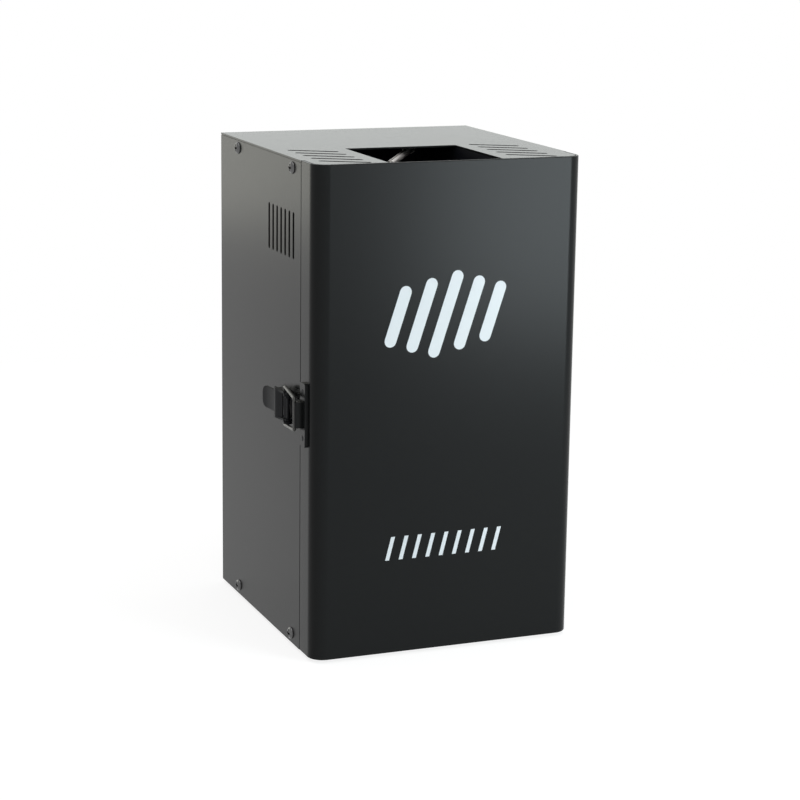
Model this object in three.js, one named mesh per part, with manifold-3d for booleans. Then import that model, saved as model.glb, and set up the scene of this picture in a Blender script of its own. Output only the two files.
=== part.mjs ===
// Stage flame machine: a tall steel case with a hinged front door, a flame opening in its top, a gas
// canister on a screw lift behind the door, and the burner, ignition and electronics that it needs.
// Millimetres, +Z up, +X to the right seen from the front, -Y towards the door.
import * as THREE from 'three';
import { mergeVertices } from 'three/addons/utils/BufferGeometryUtils.js';
import Module from 'manifold-3d';

const wasm = await Module();
wasm.setup();

// Case
const CASE_WIDTH = 230;
const CASE_DEPTH = 240;
const CASE_HEIGHT = 402;
const SHEET = 1.5;
const FLANGE = 24;
const SEAM = 0.6;
const FIT = 0.3;

// Door
const DOOR_SHEET = 2;
const DOOR_RETURN = 32;
const CORNER_RADIUS = 13;

// Flame opening in the top and the vent slots
const OPENING_WIDTH = 98;
const OPENING_CENTRE_X = -4.5;
const OPENING_REACH = 99;
const TOP_SLOT_SHARE = 0.6625;
const TOP_SLOT_WIDTH = 5;
const TOP_SLOT_OVERRUN = 1.1;
const TOP_SLOT_COUNT = 5;
const TOP_SLOT_ANGLE = -30;
const TOP_SLOT_SETBACK = 2;
const SIDE_SLOT_LENGTH = 38;
const SIDE_SLOT_WIDTH = 4;
const SIDE_SLOT_PITCH = 10;
const SIDE_SLOT_COUNT = 7;
const SIDE_SLOT_SETBACK = 80;
const SIDE_SLOT_DROP = 62;

// Case screws and feet
const SCREW_HEAD_DIAMETER = 10;
const SCREW_HEAD_HEIGHT = 2.8;
const SCREW_SHANK_DIAMETER = 5;
const SCREW_LENGTH = 9;
const SCREW_EDGE_Z = 8;
const SCREW_FRONT_INSET = 53;
const SCREW_REAR_INSET = 48;
const FOOT_DIAMETER = 22;
const FOOT_HEIGHT = 3;
const FOOT_INSET = 30;

// Door hinge
const HINGE_END_GAP = 31;
const HINGE_KNUCKLES = 7;
const HINGE_KNUCKLE_DIAMETER = 6.4;
const HINGE_PIN_DIAMETER = 3;
const HINGE_LEAF = 1.2;
const HINGE_LEAF_WIDTH = 11;
const HINGE_GAP = 0.5;

// Draw latch on the left side
const LATCH_PIVOT_SETBACK = 44;
const LATCH_PIVOT_OUT = 6;
const LATCH_SHEET = 1.5;
const LATCH_BASE_FRONT = 9;
const LATCH_BASE_REAR = 29;
const LATCH_EAR_RADIUS = 2.8;
const LATCH_PIN_DIAMETER = 2.4;
const LATCH_PIN_HEAD = 0.7;
const LEVER_HEIGHT = 24;
const LEVER_BODY_LENGTH = 33;
const LEVER_NOSE_RADIUS = 5.4;
const LEVER_NOSE_TOP = 2.8;
const LEVER_RISE = 4.6;
const LEVER_CHEEK_DROP = 4;
const LEVER_TAB_DROP = 2;
const LEVER_TAB_LENGTH = 27;
const LEVER_TAB_HEIGHT = 20;
const BAIL_WIRE = 3;
const BAIL_PIVOT_BACK = 12;
const BAIL_PIVOT_DROP = 1;
const BAIL_REAR_HALF = 15.7;
const BAIL_FRONT_HALF = 12.9;
const KEEPER_LENGTH = 52;
const KEEPER_WIDTH = 11.5;
const KEEPER_THICKNESS = 3;
const KEEPER_HOOK_HEIGHT = 21;
const KEEPER_HOOK_OUT = 9.6;
const KEEPER_LIP = 3.6;
const KEEPER_LIP_SETBACK = 4.9;
const KEEPER_STEP = 5.9;
const KEEPER_STEP_LENGTH = 11;

// Burner
const DECK_DROP = 112;
const BURNER_REAR_INSET = 80;
const RISER_DIAMETER = 8;
const RISER_BORE = 4;
const RISER_HEIGHT = 28;
const NOZZLE_DIAMETER = 18;
const NOZZLE_HEIGHT = 26;
const NOZZLE_BORE = 3;
const ELECTRODE_DIAMETER = 5;
const ELECTRODE_BELOW_TOP = 8;
const ELECTRODE_X = 26;
const ELECTRODE_REACH = 112;
const ELECTRODE_TURN = 31;
const ELECTRODE_STRAIGHT = 10;
const ELECTRODE_TAIL = 4;
const INSULATOR_DIAMETER = 10;
const INSULATOR_COLLAR_DIAMETER = 12;
const INSULATOR_COLLAR = 5;
const INSULATOR_LENGTH = 26;
const INSULATOR_INSIDE = 7;
const SPARK_GAP = 5;
const GROUND_DIAMETER = 4;
const GROUND_FOOT_DIAMETER = 12;
const GROUND_FOOT_HEIGHT = 4;

// Gas canister, valve and lift
const CANISTER_DIAMETER = 65;
const CANISTER_BASE = 57.7;
const CANISTER_SHOULDER = 10;
const CANISTER_EDGE = 3;
const CANISTER_WALL = 1;
const CANISTER_CUP = 5;
const CANISTER_CUP_DIAMETER = 32;
const STEM_LENGTH = 11;
const STEM_DIAMETER = 4;
const STEM_ENGAGED = 5;
const VALVE_WIDTH = 40;
const VALVE_HEIGHT = 26;
const VALVE_PASSAGE = 3;
const RISER_SEAT = 8;
const COIL_DIAMETER = 25;
const COIL_LENGTH = 36;
const COIL_NECK = 3;
const SEAT_PLATE = 3;
const SEAT_RIM = 2;
const SEAT_RIM_HEIGHT = 12;
const SEAT_CLEARANCE = 0.8;
const SEAT_ARM_WIDTH = 14;
const SEAT_BOSS_DIAMETER = 17;
const SEAT_BOSS_HEIGHT = 16;
const SEAT_TRAVEL = 12;
const GUIDE_DIAMETER = 8;
const GUIDE_SPREAD = 50;
const GUIDE_COLLAR_DIAMETER = 16;
const GUIDE_COLLAR_HEIGHT = 6;
const WHEEL_DIAMETER = 58;
const WHEEL_HEIGHT = 10;
const WHEEL_TEETH = 36;
const WHEEL_TOOTH = 1.2;
const HUB_DIAMETER = 24;
const HUB_HEIGHT = 14;
const STUD_DIAMETER = 12;
const STUD_FLANGE_DIAMETER = 34;
const STUD_FLANGE_HEIGHT = 3;

// Partition and what stands behind it
const PARTITION_SETBACK = 112;
const PARTITION_FOOT = 12;
const SUPPLY_WIDTH = 98;
const SUPPLY_DEPTH = 62;
const SUPPLY_HEIGHT = 36;
const SUPPLY_INSET = 73;
const TRANSFORMER_WIDTH = 62;
const TRANSFORMER_DEPTH = 36;
const TRANSFORMER_HEIGHT = 40;
const TRANSFORMER_X = 20;
const TRANSFORMER_DROP = 46;
const TOWER_DIAMETER = 14;
const TOWER_LENGTH = 8;
const LEAD_DIAMETER = 5;
const TERMINAL_WIDTH = 12;
const TERMINAL_HEIGHT = 16;

// Rear panel fittings
const DISPLAY_WIDTH = 72;
const DISPLAY_HEIGHT = 30;
const DISPLAY_DROP = 50;
const DISPLAY_BEZEL = 3;
const DISPLAY_PROUD = 1.6;
const DISPLAY_DEPTH = 8;
const BUTTON_DIAMETER = 8;
const BUTTON_PROUD = 1.8;
const BUTTON_PITCH = 18;
const BUTTON_COUNT = 4;
const BUTTON_DROP = 82;
const BUTTON_TRAVEL = 0.8;
const BUTTON_FLANGE_DIAMETER = 10.5;
const BUTTON_FLANGE = 1;
const BUTTON_STEM_DIAMETER = 4;
const BUTTON_STEM = 3;
const BOARD_WIDTH = 92;
const BOARD_HEIGHT = 70;
const BOARD_DROP = 66;
const BOARD_THICKNESS = 1.6;
const STANDOFF_LENGTH = 10;
const STANDOFF_DIAMETER = 6;
const STANDOFF_INSET = 4;
const TACT_WIDTH = 6;
const CHIP_WIDTH = 22;
const CHIP_HEIGHT = 14;
const CHIP_DEPTH = 3;
const INLET_X = -72;
const INLET_Z = 44;
const INLET_WIDTH = 30;
const INLET_HEIGHT = 24;
const INLET_FLANGE = 4;
const INLET_DEPTH = 22;
const INLET_PIN_LENGTH = 9;
const INLET_PIN_WIDTH = 2;
const INLET_PIN_HEIGHT = 6;
const INLET_PIN_PITCH = 7;
const INLET_WALL = 3;
const INLET_RECESS = 15;
const INLET_PROUD = 3;
const SWITCH_Z = 88;
const SWITCH_WIDTH = 21;
const SWITCH_HEIGHT = 28;
const SWITCH_DEPTH = 18;
const SWITCH_RIM = 2;
const SWITCH_PROUD = 2;
const SWITCH_WALL = 2;
const ROCKER_DEPTH = 6;
const ROCKER_HALF = 10.4;
const ROCKER_FOOT = 8;
const ROCKER_TILT = 10;
const DMX_Z = 50;
const DMX_IN_X = 62;
const DMX_OUT_X = 20;
const DMX_FLANGE_WIDTH = 26;
const DMX_FLANGE_HEIGHT = 31;
const DMX_FLANGE = 2;
const DMX_BARREL_DIAMETER = 23.6;
const DMX_SOCKET_DIAMETER = 18.6;
const DMX_SOCKET_DEPTH = 12;
const DMX_PIN_DIAMETER = 2.4;
const DMX_PIN_CIRCLE = 8;
const DMX_PINS = 3;
const DMX_HOLE_DEPTH = 10;
const DMX_INSERT_DIAMETER = 14;
const DMX_DEPTH = 22;
const LOCK_X = 74;
const LOCK_DROP = 62;
const LOCK_DIAMETER = 19;
const LOCK_FLANGE_DIAMETER = 24;
const LOCK_PROUD = 4;
const LOCK_DEPTH = 26;
const PLUG_DIAMETER = 11;
const PLUG_DEPTH = 17;
const KEY_SLOT_WIDTH = 2.6;
const KEY_SLOT_HEIGHT = 9;
const KEY_BLADE_LENGTH = 14;
const KEY_BOW_DIAMETER = 20;
const KEY_BOW_THICKNESS = 2;
const KEY_RING_DIAMETER = 7;

// Edges of the case
const LEFT = -CASE_WIDTH / 2;
const RIGHT = CASE_WIDTH / 2;
const FRONT = -CASE_DEPTH / 2;
const BACK = CASE_DEPTH / 2;
const TOP = CASE_HEIGHT;
const SIDE_FRONT = FRONT + DOOR_RETURN + SEAM;
const INNER_FRONT = FRONT + DOOR_SHEET + SEAM;
const INNER_HALF = RIGHT - DOOR_SHEET - SEAM;
const FLANGE_HALF = RIGHT - SHEET - FIT;
const REAR_INSIDE = BACK - SHEET;
const ROOF = TOP - SHEET - FIT;
const OPENING_LEFT = OPENING_CENTRE_X - OPENING_WIDTH / 2;
const OPENING_RIGHT = OPENING_CENTRE_X + OPENING_WIDTH / 2;
const OPENING_REAR_Y = FRONT + OPENING_REACH;
const OPENING_MIDDLE_Y = (OPENING_REAR_Y + INNER_FRONT) / 2;

// Places that follow the edges
const HINGE_LENGTH = CASE_HEIGHT - 2 * HINGE_END_GAP;
const LATCH_Z = CASE_HEIGHT / 2;
const LATCH_PIVOT_Y = FRONT + LATCH_PIVOT_SETBACK;
const DECK_HEIGHT = CASE_HEIGHT - DECK_DROP;
const BURNER_REAR_Y = BACK - BURNER_REAR_INSET;
const PARTITION_Y = FRONT + PARTITION_SETBACK;
const TRANSFORMER_Z = DECK_HEIGHT - TRANSFORMER_DROP;
const DISPLAY_Z = CASE_HEIGHT - DISPLAY_DROP;
const BUTTON_Z = CASE_HEIGHT - BUTTON_DROP;
const BOARD_Z = CASE_HEIGHT - BOARD_DROP;
const LOCK_Z = CASE_HEIGHT - LOCK_DROP;

// Finishes
const FULL_TURN = 2 * Math.PI;
const QUARTER_TURN = Math.PI / 2;
const DEGREE = Math.PI / 180;

function finish(colour, roughness, metalness) {
  return { color: colour, roughness, metalness };
}

const blackPaint = finish(0x1c1d1e, 0.42, 0.2);
const darkPaint = finish(0x101113, 0.6, 0.2);
const blackSteel = finish(0x202124, 0.35, 0.8);
const brightSteel = finish(0xb8babd, 0.25, 1);
const zinc = finish(0x9a9da0, 0.4, 0.9);
const brass = finish(0xb9964f, 0.3, 1);
const ceramic = finish(0xe6e2d8, 0.45, 0);
const rubber = finish(0x151515, 0.9, 0);
const blackPlastic = finish(0x17181a, 0.55, 0);
const redPlastic = finish(0x9a1c18, 0.4, 0);
const greenBoard = finish(0x1d5a36, 0.55, 0);
const darkGlass = finish(0x0c1a2a, 0.12, 0);
const whitePaint = finish(0xd9dad8, 0.35, 0.1);

const machine = new THREE.Group();

function add(name, body, look) {
  const mesh = new THREE.Mesh(toGeometry(body), new THREE.MeshStandardMaterial(look));
  mesh.name = name;
  machine.add(mesh);
}

// A closed three.js geometry becomes a solid: shared corners merged, faces without area dropped
function toSolid(geometry) {
  const bare = geometry.clone();
  bare.deleteAttribute('normal');
  bare.deleteAttribute('uv');
  const merged = mergeVertices(bare, 1e-4);
  const points = merged.attributes.position;
  const kept = [];
  const corner = [new THREE.Vector3(), new THREE.Vector3(), new THREE.Vector3()];
  let volume = 0;
  for (let i = 0; i < merged.index.count; i += 3) {
    const ids = [0, 1, 2].map((k) => merged.index.getX(i + k));
    if (new Set(ids).size === 3) {
      kept.push(ids);
      ids.forEach((id, k) => corner[k].fromBufferAttribute(points, id));
      volume += corner[0].dot(corner[1].cross(corner[2]));
    }
  }
  if (volume < 0) kept.forEach((ids) => ids.reverse());
  return new wasm.Manifold(new wasm.Mesh({
    numProp: 3,
    vertProperties: new Float32Array(points.array),
    triVerts: new Uint32Array(kept.flat()),
  }));
}

function toGeometry(body) {
  const mesh = body.getMesh();
  const geometry = new THREE.BufferGeometry();
  geometry.setAttribute('position', new THREE.BufferAttribute(mesh.vertProperties, mesh.numProp));
  geometry.setIndex(new THREE.BufferAttribute(mesh.triVerts, 1));
  geometry.computeVertexNormals();
  return geometry;
}

function join(...bodies) {
  return bodies.reduce((whole, body) => whole.add(body));
}

function cut(body, ...tools) {
  return tools.reduce((left, tool) => left.subtract(tool), body);
}

// A box between two corners
function block(x0, x1, y0, y1, z0, z1) {
  const geometry = new THREE.BoxGeometry(x1 - x0, y1 - y0, z1 - z0);
  geometry.translate((x0 + x1) / 2, (y0 + y1) / 2, (z0 + z1) / 2);
  return toSolid(geometry);
}

// Turns a geometry that stands along +Y so that it stands along the named axis
function stand(geometry, axis) {
  if (axis === 'x') geometry.rotateZ(-QUARTER_TURN);
  if (axis === 'z') geometry.rotateX(QUARTER_TURN);
  return geometry;
}

// A round bar from a start point along an axis
function bar(axis, x, y, z, diameter, length, sides = 24) {
  const geometry = new THREE.CylinderGeometry(diameter / 2, diameter / 2, length, sides);
  geometry.translate(0, length / 2, 0);
  return toSolid(stand(geometry, axis).translate(x, y, z));
}

// A turned piece: radius and height pairs about an axis through a start point
function turned(axis, x, y, z, profile, sides = 24) {
  const points = profile.map(([radius, height]) => new THREE.Vector2(radius, height));
  const geometry = new THREE.LatheGeometry(points, sides);
  return toSolid(stand(geometry, axis).translate(x, y, z));
}

// A flat outline given thickness: along x it is drawn in y and z, along y in x and z, along z in x and y
function plate(axis, start, thickness, outline, arcSteps = 6) {
  const geometry = new THREE.ExtrudeGeometry(outline, {
    depth: thickness, bevelEnabled: false, curveSegments: arcSteps,
  });
  const turn = new THREE.Matrix4();
  const along = [new THREE.Vector3(1, 0, 0), new THREE.Vector3(0, 1, 0), new THREE.Vector3(0, 0, 1)];
  if (axis === 'x') {
    turn.makeBasis(along[1], along[2], along[0]);
    geometry.applyMatrix4(turn).translate(start, 0, 0);
  }
  if (axis === 'y') {
    turn.makeBasis(along[0], along[2], along[1].negate());
    geometry.applyMatrix4(turn).translate(0, start + thickness, 0);
  }
  if (axis === 'z') geometry.translate(0, 0, start);
  return toSolid(geometry);
}

// A round wire along straight runs, with a ball at each bend
function wire(points, diameter, sides = 10) {
  const runs = points.slice(1).map((end, i) => {
    const start = points[i];
    const way = end.clone().sub(start);
    const geometry = new THREE.CylinderGeometry(diameter / 2, diameter / 2, way.length(), sides);
    geometry.translate(0, way.length() / 2, 0);
    const turn = new THREE.Quaternion().setFromUnitVectors(new THREE.Vector3(0, 1, 0), way.normalize());
    geometry.applyQuaternion(turn).translate(start.x, start.y, start.z);
    return toSolid(geometry);
  });
  const bends = points.slice(1, -1).map((at) => {
    const geometry = new THREE.SphereGeometry(diameter / 2, sides, sides / 2);
    return toSolid(geometry.translate(at.x, at.y, at.z));
  });
  return join(...runs, ...bends);
}

function rectangle(x0, x1, y0, y1) {
  const outline = new THREE.Shape();
  outline.moveTo(x0, y0);
  outline.lineTo(x1, y0);
  outline.lineTo(x1, y1);
  outline.lineTo(x0, y1);
  outline.closePath();
  return outline;
}

function circle(x, y, diameter) {
  const hole = new THREE.Path();
  hole.absarc(x, y, diameter / 2, 0, FULL_TURN);
  return hole;
}

// A slot with round ends
function slot(x, y, length, width, degrees) {
  const angle = degrees * DEGREE;
  const half = (length - width) / 2;
  const endX = half * Math.cos(angle);
  const endY = half * Math.sin(angle);
  const hole = new THREE.Path();
  hole.absarc(x + endX, y + endY, width / 2, angle - QUARTER_TURN, angle + QUARTER_TURN);
  hole.absarc(x - endX, y - endY, width / 2, angle + QUARTER_TURN, angle + 3 * QUARTER_TURN);
  hole.closePath();
  return hole;
}

// Outline shared by the base and the top: full width behind the door, inside the door at the front
function trayOutline(rearHalf, rearY) {
  const radius = CORNER_RADIUS - DOOR_SHEET - SEAM;
  const outline = new THREE.Shape();
  outline.moveTo(-rearHalf, rearY);
  outline.lineTo(-rearHalf, SIDE_FRONT);
  outline.lineTo(-INNER_HALF, SIDE_FRONT);
  outline.lineTo(-INNER_HALF, INNER_FRONT + radius);
  outline.absarc(-INNER_HALF + radius, INNER_FRONT + radius, radius, Math.PI, 3 * QUARTER_TURN);
  outline.absarc(INNER_HALF - radius, INNER_FRONT + radius, radius, -QUARTER_TURN, 0);
  outline.lineTo(INNER_HALF, SIDE_FRONT);
  outline.lineTo(rearHalf, SIDE_FRONT);
  outline.lineTo(rearHalf, rearY);
  outline.closePath();
  return outline;
}

// Side panel screws: places on the panel, and the hole that each passes through
const SCREW_HOLE = SCREW_SHANK_DIAMETER + 2 * FIT;
const screwPlaces = [SCREW_EDGE_Z, TOP - SCREW_EDGE_Z].flatMap(
  (z) => [FRONT + SCREW_FRONT_INSET, BACK - SCREW_REAR_INSET].map((y) => [y, z]),
);
const screwHoles = screwPlaces.map(
  ([y, z]) => bar('x', LEFT, y, z, SCREW_HOLE, CASE_WIDTH, 12),
);

// Base pan: floor with upturned edges at the sides, the back and the front
function basePan() {
  const floor = plate('z', 0, SHEET, trayOutline(FLANGE_HALF, REAR_INSIDE - FIT));
  const sideStart = SIDE_FRONT + SHEET;
  const left = block(-FLANGE_HALF, -FLANGE_HALF + SHEET, sideStart, REAR_INSIDE - FIT, 0, FLANGE);
  const right = block(FLANGE_HALF - SHEET, FLANGE_HALF, sideStart, REAR_INSIDE - FIT, 0, FLANGE);
  const rear = block(-FLANGE_HALF, FLANGE_HALF, REAR_INSIDE - FIT - SHEET, REAR_INSIDE - FIT, 0, FLANGE);
  const lipHalf = INNER_HALF - CORNER_RADIUS;
  const lip = block(-lipHalf, lipHalf, INNER_FRONT, INNER_FRONT + SHEET, 0, FLANGE / 2);
  return cut(join(floor, left, right, rear, lip), ...screwHoles);
}
add('base_pan', basePan(), darkPaint);

// Side panels with seven upright slots near the top front corner
function sidePanel(start) {
  const outline = rectangle(SIDE_FRONT, BACK, 0, ROOF);
  for (let i = 0; i < SIDE_SLOT_COUNT; i += 1) {
    const y = FRONT + SIDE_SLOT_SETBACK + (i - (SIDE_SLOT_COUNT - 1) / 2) * SIDE_SLOT_PITCH;
    const z = CASE_HEIGHT - SIDE_SLOT_DROP;
    outline.holes.push(slot(y, z, SIDE_SLOT_LENGTH, SIDE_SLOT_WIDTH, 90));
  }
  return cut(plate('x', start, SHEET, outline, 3), ...screwHoles);
}
add('left_side_panel', sidePanel(LEFT), blackPaint);
add('right_side_panel', sidePanel(RIGHT - SHEET), blackPaint);

// Domed screws that hold the side panels to the base and top flanges
function panelScrew(side, y, z) {
  const head = SCREW_HEAD_DIAMETER / 2;
  const shank = SCREW_SHANK_DIAMETER / 2;
  const tip = SCREW_HEAD_HEIGHT + SCREW_LENGTH;
  const profile = [[0, 0], [head * 0.55, SCREW_HEAD_HEIGHT * 0.2], [head * 0.88, SCREW_HEAD_HEIGHT * 0.55],
    [head, SCREW_HEAD_HEIGHT], [shank, SCREW_HEAD_HEIGHT], [shank, tip], [0, tip]];
  const start = side * (RIGHT + SCREW_HEAD_HEIGHT);
  const inward = profile.map(([radius, depth]) => [radius, -side * depth]);
  return turned('x', start, y, z, inward, 12);
}
[['left', -1], ['right', 1]].forEach(([word, side]) => {
  screwPlaces.forEach(([y, z], i) => add(`${word}_panel_screw_${i + 1}`, panelScrew(side, y, z), zinc));
});

// Top panel: the flame opening runs to its front edge, with slanted slots on both sides of it
function topPanel() {
  const outline = trayOutline(RIGHT, BACK);
  const strip = INNER_HALF - OPENING_WIDTH / 2;
  const slotLength = strip * TOP_SLOT_SHARE;
  const slotOffset = (OPENING_WIDTH + strip) / 2 - SEAM;
  const slotRise = (slotLength - TOP_SLOT_WIDTH) * Math.abs(Math.sin(TOP_SLOT_ANGLE * DEGREE));
  const groupDepth = OPENING_REAR_Y - INNER_FRONT + TOP_SLOT_OVERRUN;
  const slotPitch = (groupDepth - slotRise - TOP_SLOT_WIDTH) / (TOP_SLOT_COUNT - 1);
  [-slotOffset, slotOffset].forEach((offset) => {
    for (let i = 0; i < TOP_SLOT_COUNT; i += 1) {
      const y = OPENING_MIDDLE_Y + TOP_SLOT_SETBACK + (i - (TOP_SLOT_COUNT - 1) / 2) * slotPitch;
      const x = OPENING_CENTRE_X + offset;
      outline.holes.push(slot(x, y, slotLength, TOP_SLOT_WIDTH, TOP_SLOT_ANGLE));
    }
  });
  const sheet = plate('z', TOP - SHEET, SHEET, outline, 3);
  const low = TOP - FLANGE;
  const sideStart = SIDE_FRONT + SHEET;
  const left = block(-FLANGE_HALF, -FLANGE_HALF + SHEET, sideStart, REAR_INSIDE - FIT, low, TOP);
  const right = block(FLANGE_HALF - SHEET, FLANGE_HALF, sideStart, REAR_INSIDE - FIT, low, TOP);
  const rear = block(-FLANGE_HALF, FLANGE_HALF, REAR_INSIDE - FIT - SHEET, REAR_INSIDE - FIT, low, TOP);
  const lipHalf = INNER_HALF - CORNER_RADIUS;
  const lipLow = TOP - FLANGE / 2;
  const leftEnd = OPENING_LEFT - SHEET - FIT;
  const rightEnd = OPENING_RIGHT + SHEET + FIT;
  const leftLip = block(-lipHalf, leftEnd, INNER_FRONT, INNER_FRONT + SHEET, lipLow, TOP);
  const rightLip = block(rightEnd, lipHalf, INNER_FRONT, INNER_FRONT + SHEET, lipLow, TOP);
  const opening = block(OPENING_LEFT, OPENING_RIGHT, FRONT, OPENING_REAR_Y, TOP - 2 * SHEET, TOP + SHEET);
  return cut(join(sheet, left, right, rear, leftLip, rightLip), opening, ...screwHoles);
}
add('top_panel', topPanel(), blackPaint);

// Low rubber feet under the base
const footX = RIGHT - FOOT_INSET;
const footY = BACK - FOOT_INSET;
[['front_left', -1, -1], ['front_right', 1, -1], ['rear_left', -1, 1], ['rear_right', 1, 1]].forEach(
  ([word, sideX, sideY]) => {
    const radius = FOOT_DIAMETER / 2;
    const profile = [[0, -FOOT_HEIGHT], [radius - 1, -FOOT_HEIGHT], [radius, -FOOT_HEIGHT + 1], [radius, 0],
      [0, 0]];
    add(`${word}_foot`, turned('z', sideX * footX, sideY * footY, 0, profile, 20), rubber);
  },
);

// Door: one sheet bent round both front corners, its sides meeting the side panels at a seam
function frontDoor() {
  const rear = FRONT + DOOR_RETURN;
  const innerRadius = CORNER_RADIUS - DOOR_SHEET;
  const cornerY = FRONT + CORNER_RADIUS;
  const outline = new THREE.Shape();
  outline.moveTo(LEFT, rear);
  outline.lineTo(LEFT, cornerY);
  outline.absarc(LEFT + CORNER_RADIUS, cornerY, CORNER_RADIUS, Math.PI, 3 * QUARTER_TURN);
  outline.absarc(RIGHT - CORNER_RADIUS, cornerY, CORNER_RADIUS, -QUARTER_TURN, 0);
  outline.lineTo(RIGHT, rear);
  outline.lineTo(RIGHT - DOOR_SHEET, rear);
  outline.absarc(RIGHT - CORNER_RADIUS, cornerY, innerRadius, 0, -QUARTER_TURN, true);
  outline.absarc(LEFT + CORNER_RADIUS, cornerY, innerRadius, 3 * QUARTER_TURN, Math.PI, true);
  outline.lineTo(LEFT + DOOR_SHEET, rear);
  outline.closePath();
  return plate('z', 0, TOP, outline, 8);
}
add('front_door', frontDoor(), blackPaint);

// Hinge on the right side: its knuckles alternate between the case leaf and the door leaf
const HINGE_X = RIGHT + HINGE_KNUCKLE_DIAMETER / 2 + FIT;
const HINGE_Y = FRONT + DOOR_RETURN + SEAM / 2;
const HINGE_LOW = (CASE_HEIGHT - HINGE_LENGTH) / 2;
const KNUCKLE_PITCH = HINGE_LENGTH / HINGE_KNUCKLES;

function hingeLeaf(side, firstKnuckle) {
  const radius = HINGE_KNUCKLE_DIAMETER / 2;
  const near = radius + HINGE_GAP;
  const leafEdges = [HINGE_Y + side * near, HINGE_Y + side * (near + HINGE_LEAF_WIDTH)].sort((a, b) => a - b);
  const parts = [block(RIGHT, RIGHT + HINGE_LEAF, ...leafEdges, HINGE_LOW, HINGE_LOW + HINGE_LENGTH)];
  for (let i = firstKnuckle; i < HINGE_KNUCKLES; i += 2) {
    const low = HINGE_LOW + i * KNUCKLE_PITCH + HINGE_GAP / 2;
    const high = HINGE_LOW + (i + 1) * KNUCKLE_PITCH - HINGE_GAP / 2;
    const webEdges = [HINGE_Y + side * SEAM, HINGE_Y + side * (near + 1)].sort((a, b) => a - b);
    parts.push(block(RIGHT, RIGHT + HINGE_LEAF, ...webEdges, low, high));
    parts.push(bar('z', HINGE_X, HINGE_Y, low, HINGE_KNUCKLE_DIAMETER, high - low, 16));
  }
  const bore = HINGE_PIN_DIAMETER + 2 * FIT;
  return cut(join(...parts), bar('z', HINGE_X, HINGE_Y, 0, bore, CASE_HEIGHT, 12));
}
add('hinge_case_leaf', hingeLeaf(1, 0), blackSteel);
add('hinge_door_leaf', hingeLeaf(-1, 1), blackSteel);

function hingePin() {
  const head = HINGE_KNUCKLE_DIAMETER / 2;
  const shaft = HINGE_PIN_DIAMETER / 2;
  const low = HINGE_LOW - SHEET;
  const high = HINGE_LOW + HINGE_LENGTH + SHEET;
  const profile = [[0, low], [head, low], [head, low + SHEET], [shaft, low + SHEET], [shaft, high - SHEET],
    [head, high - SHEET], [head, high], [0, high]];
  return turned('z', HINGE_X, HINGE_Y, 0, profile, 12);
}
add('hinge_pin', hingePin(), brightSteel);

// Draw latch: base with two ears, lever on a pin, and a wire bail that reaches the keeper on the door
const PIVOT_X = LEFT - LATCH_PIVOT_OUT;
const EAR_OUTER = LEVER_HEIGHT / 2 - LATCH_SHEET - FIT;
const PIN_HOLE = LATCH_PIN_DIAMETER + 2 * FIT;

function latchBase() {
  const floor = block(LEFT - LATCH_SHEET, LEFT, LATCH_PIVOT_Y - LATCH_BASE_FRONT,
    LATCH_PIVOT_Y + LATCH_BASE_REAR, LATCH_Z - EAR_OUTER, LATCH_Z + EAR_OUTER);
  const ears = [LATCH_Z - EAR_OUTER, LATCH_Z + EAR_OUTER - LATCH_SHEET].flatMap((z) => [
    block(PIVOT_X, LEFT, LATCH_PIVOT_Y - LATCH_EAR_RADIUS, LATCH_PIVOT_Y + LATCH_EAR_RADIUS, z,
      z + LATCH_SHEET),
    bar('z', PIVOT_X, LATCH_PIVOT_Y, z, 2 * LATCH_EAR_RADIUS, LATCH_SHEET, 16),
  ]);
  const hole = bar('z', PIVOT_X, LATCH_PIVOT_Y, LATCH_Z - LEVER_HEIGHT, PIN_HOLE, 2 * LEVER_HEIGHT, 12);
  return cut(join(floor, ...ears), hole);
}
add('latch_base', latchBase(), blackSteel);

const BAIL_X = PIVOT_X + BAIL_PIVOT_DROP;
const BAIL_Y = LATCH_PIVOT_Y + BAIL_PIVOT_BACK;
const LEVER_FACE = PIVOT_X - LEVER_RISE;

function latchLever() {
  const half = LEVER_HEIGHT / 2;
  const low = LATCH_Z - half;
  const high = LATCH_Z + half;
  const end = LATCH_PIVOT_Y + LEVER_BODY_LENGTH;
  const noseTop = LATCH_PIVOT_Y - LEVER_NOSE_TOP;
  const parts = [block(LEVER_FACE, LEVER_FACE + LATCH_SHEET, noseTop, end, low, high)];
  [low, high - LATCH_SHEET].forEach((z) => {
    const cheekIn = PIVOT_X + LEVER_CHEEK_DROP;
    parts.push(block(LEVER_FACE, cheekIn, LATCH_PIVOT_Y, end, z, z + LATCH_SHEET));
    parts.push(bar('z', PIVOT_X, LATCH_PIVOT_Y, z, 2 * LEVER_NOSE_RADIUS, LATCH_SHEET, 20));
  });
  const tabFace = LEVER_FACE + LEVER_TAB_DROP;
  parts.push(block(LEVER_FACE, tabFace + LATCH_SHEET, end - LATCH_SHEET, end, low, high));
  const tabHalf = LEVER_TAB_HEIGHT / 2;
  const tabEnd = end + LEVER_TAB_LENGTH - tabHalf;
  parts.push(block(tabFace, tabFace + LATCH_SHEET, end - LATCH_SHEET, tabEnd, LATCH_Z - tabHalf,
    LATCH_Z + tabHalf));
  parts.push(bar('x', tabFace, tabEnd, LATCH_Z, LEVER_TAB_HEIGHT, LATCH_SHEET, 24));
  const pivotHole = bar('z', PIVOT_X, LATCH_PIVOT_Y, low - 1, PIN_HOLE, LEVER_HEIGHT + 2, 12);
  const bailHole = bar('z', BAIL_X, BAIL_Y, low - 1, BAIL_WIRE + 2 * FIT, LEVER_HEIGHT + 2, 12);
  return cut(join(...parts), pivotHole, bailHole);
}
add('latch_lever', latchLever(), blackSteel);

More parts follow.
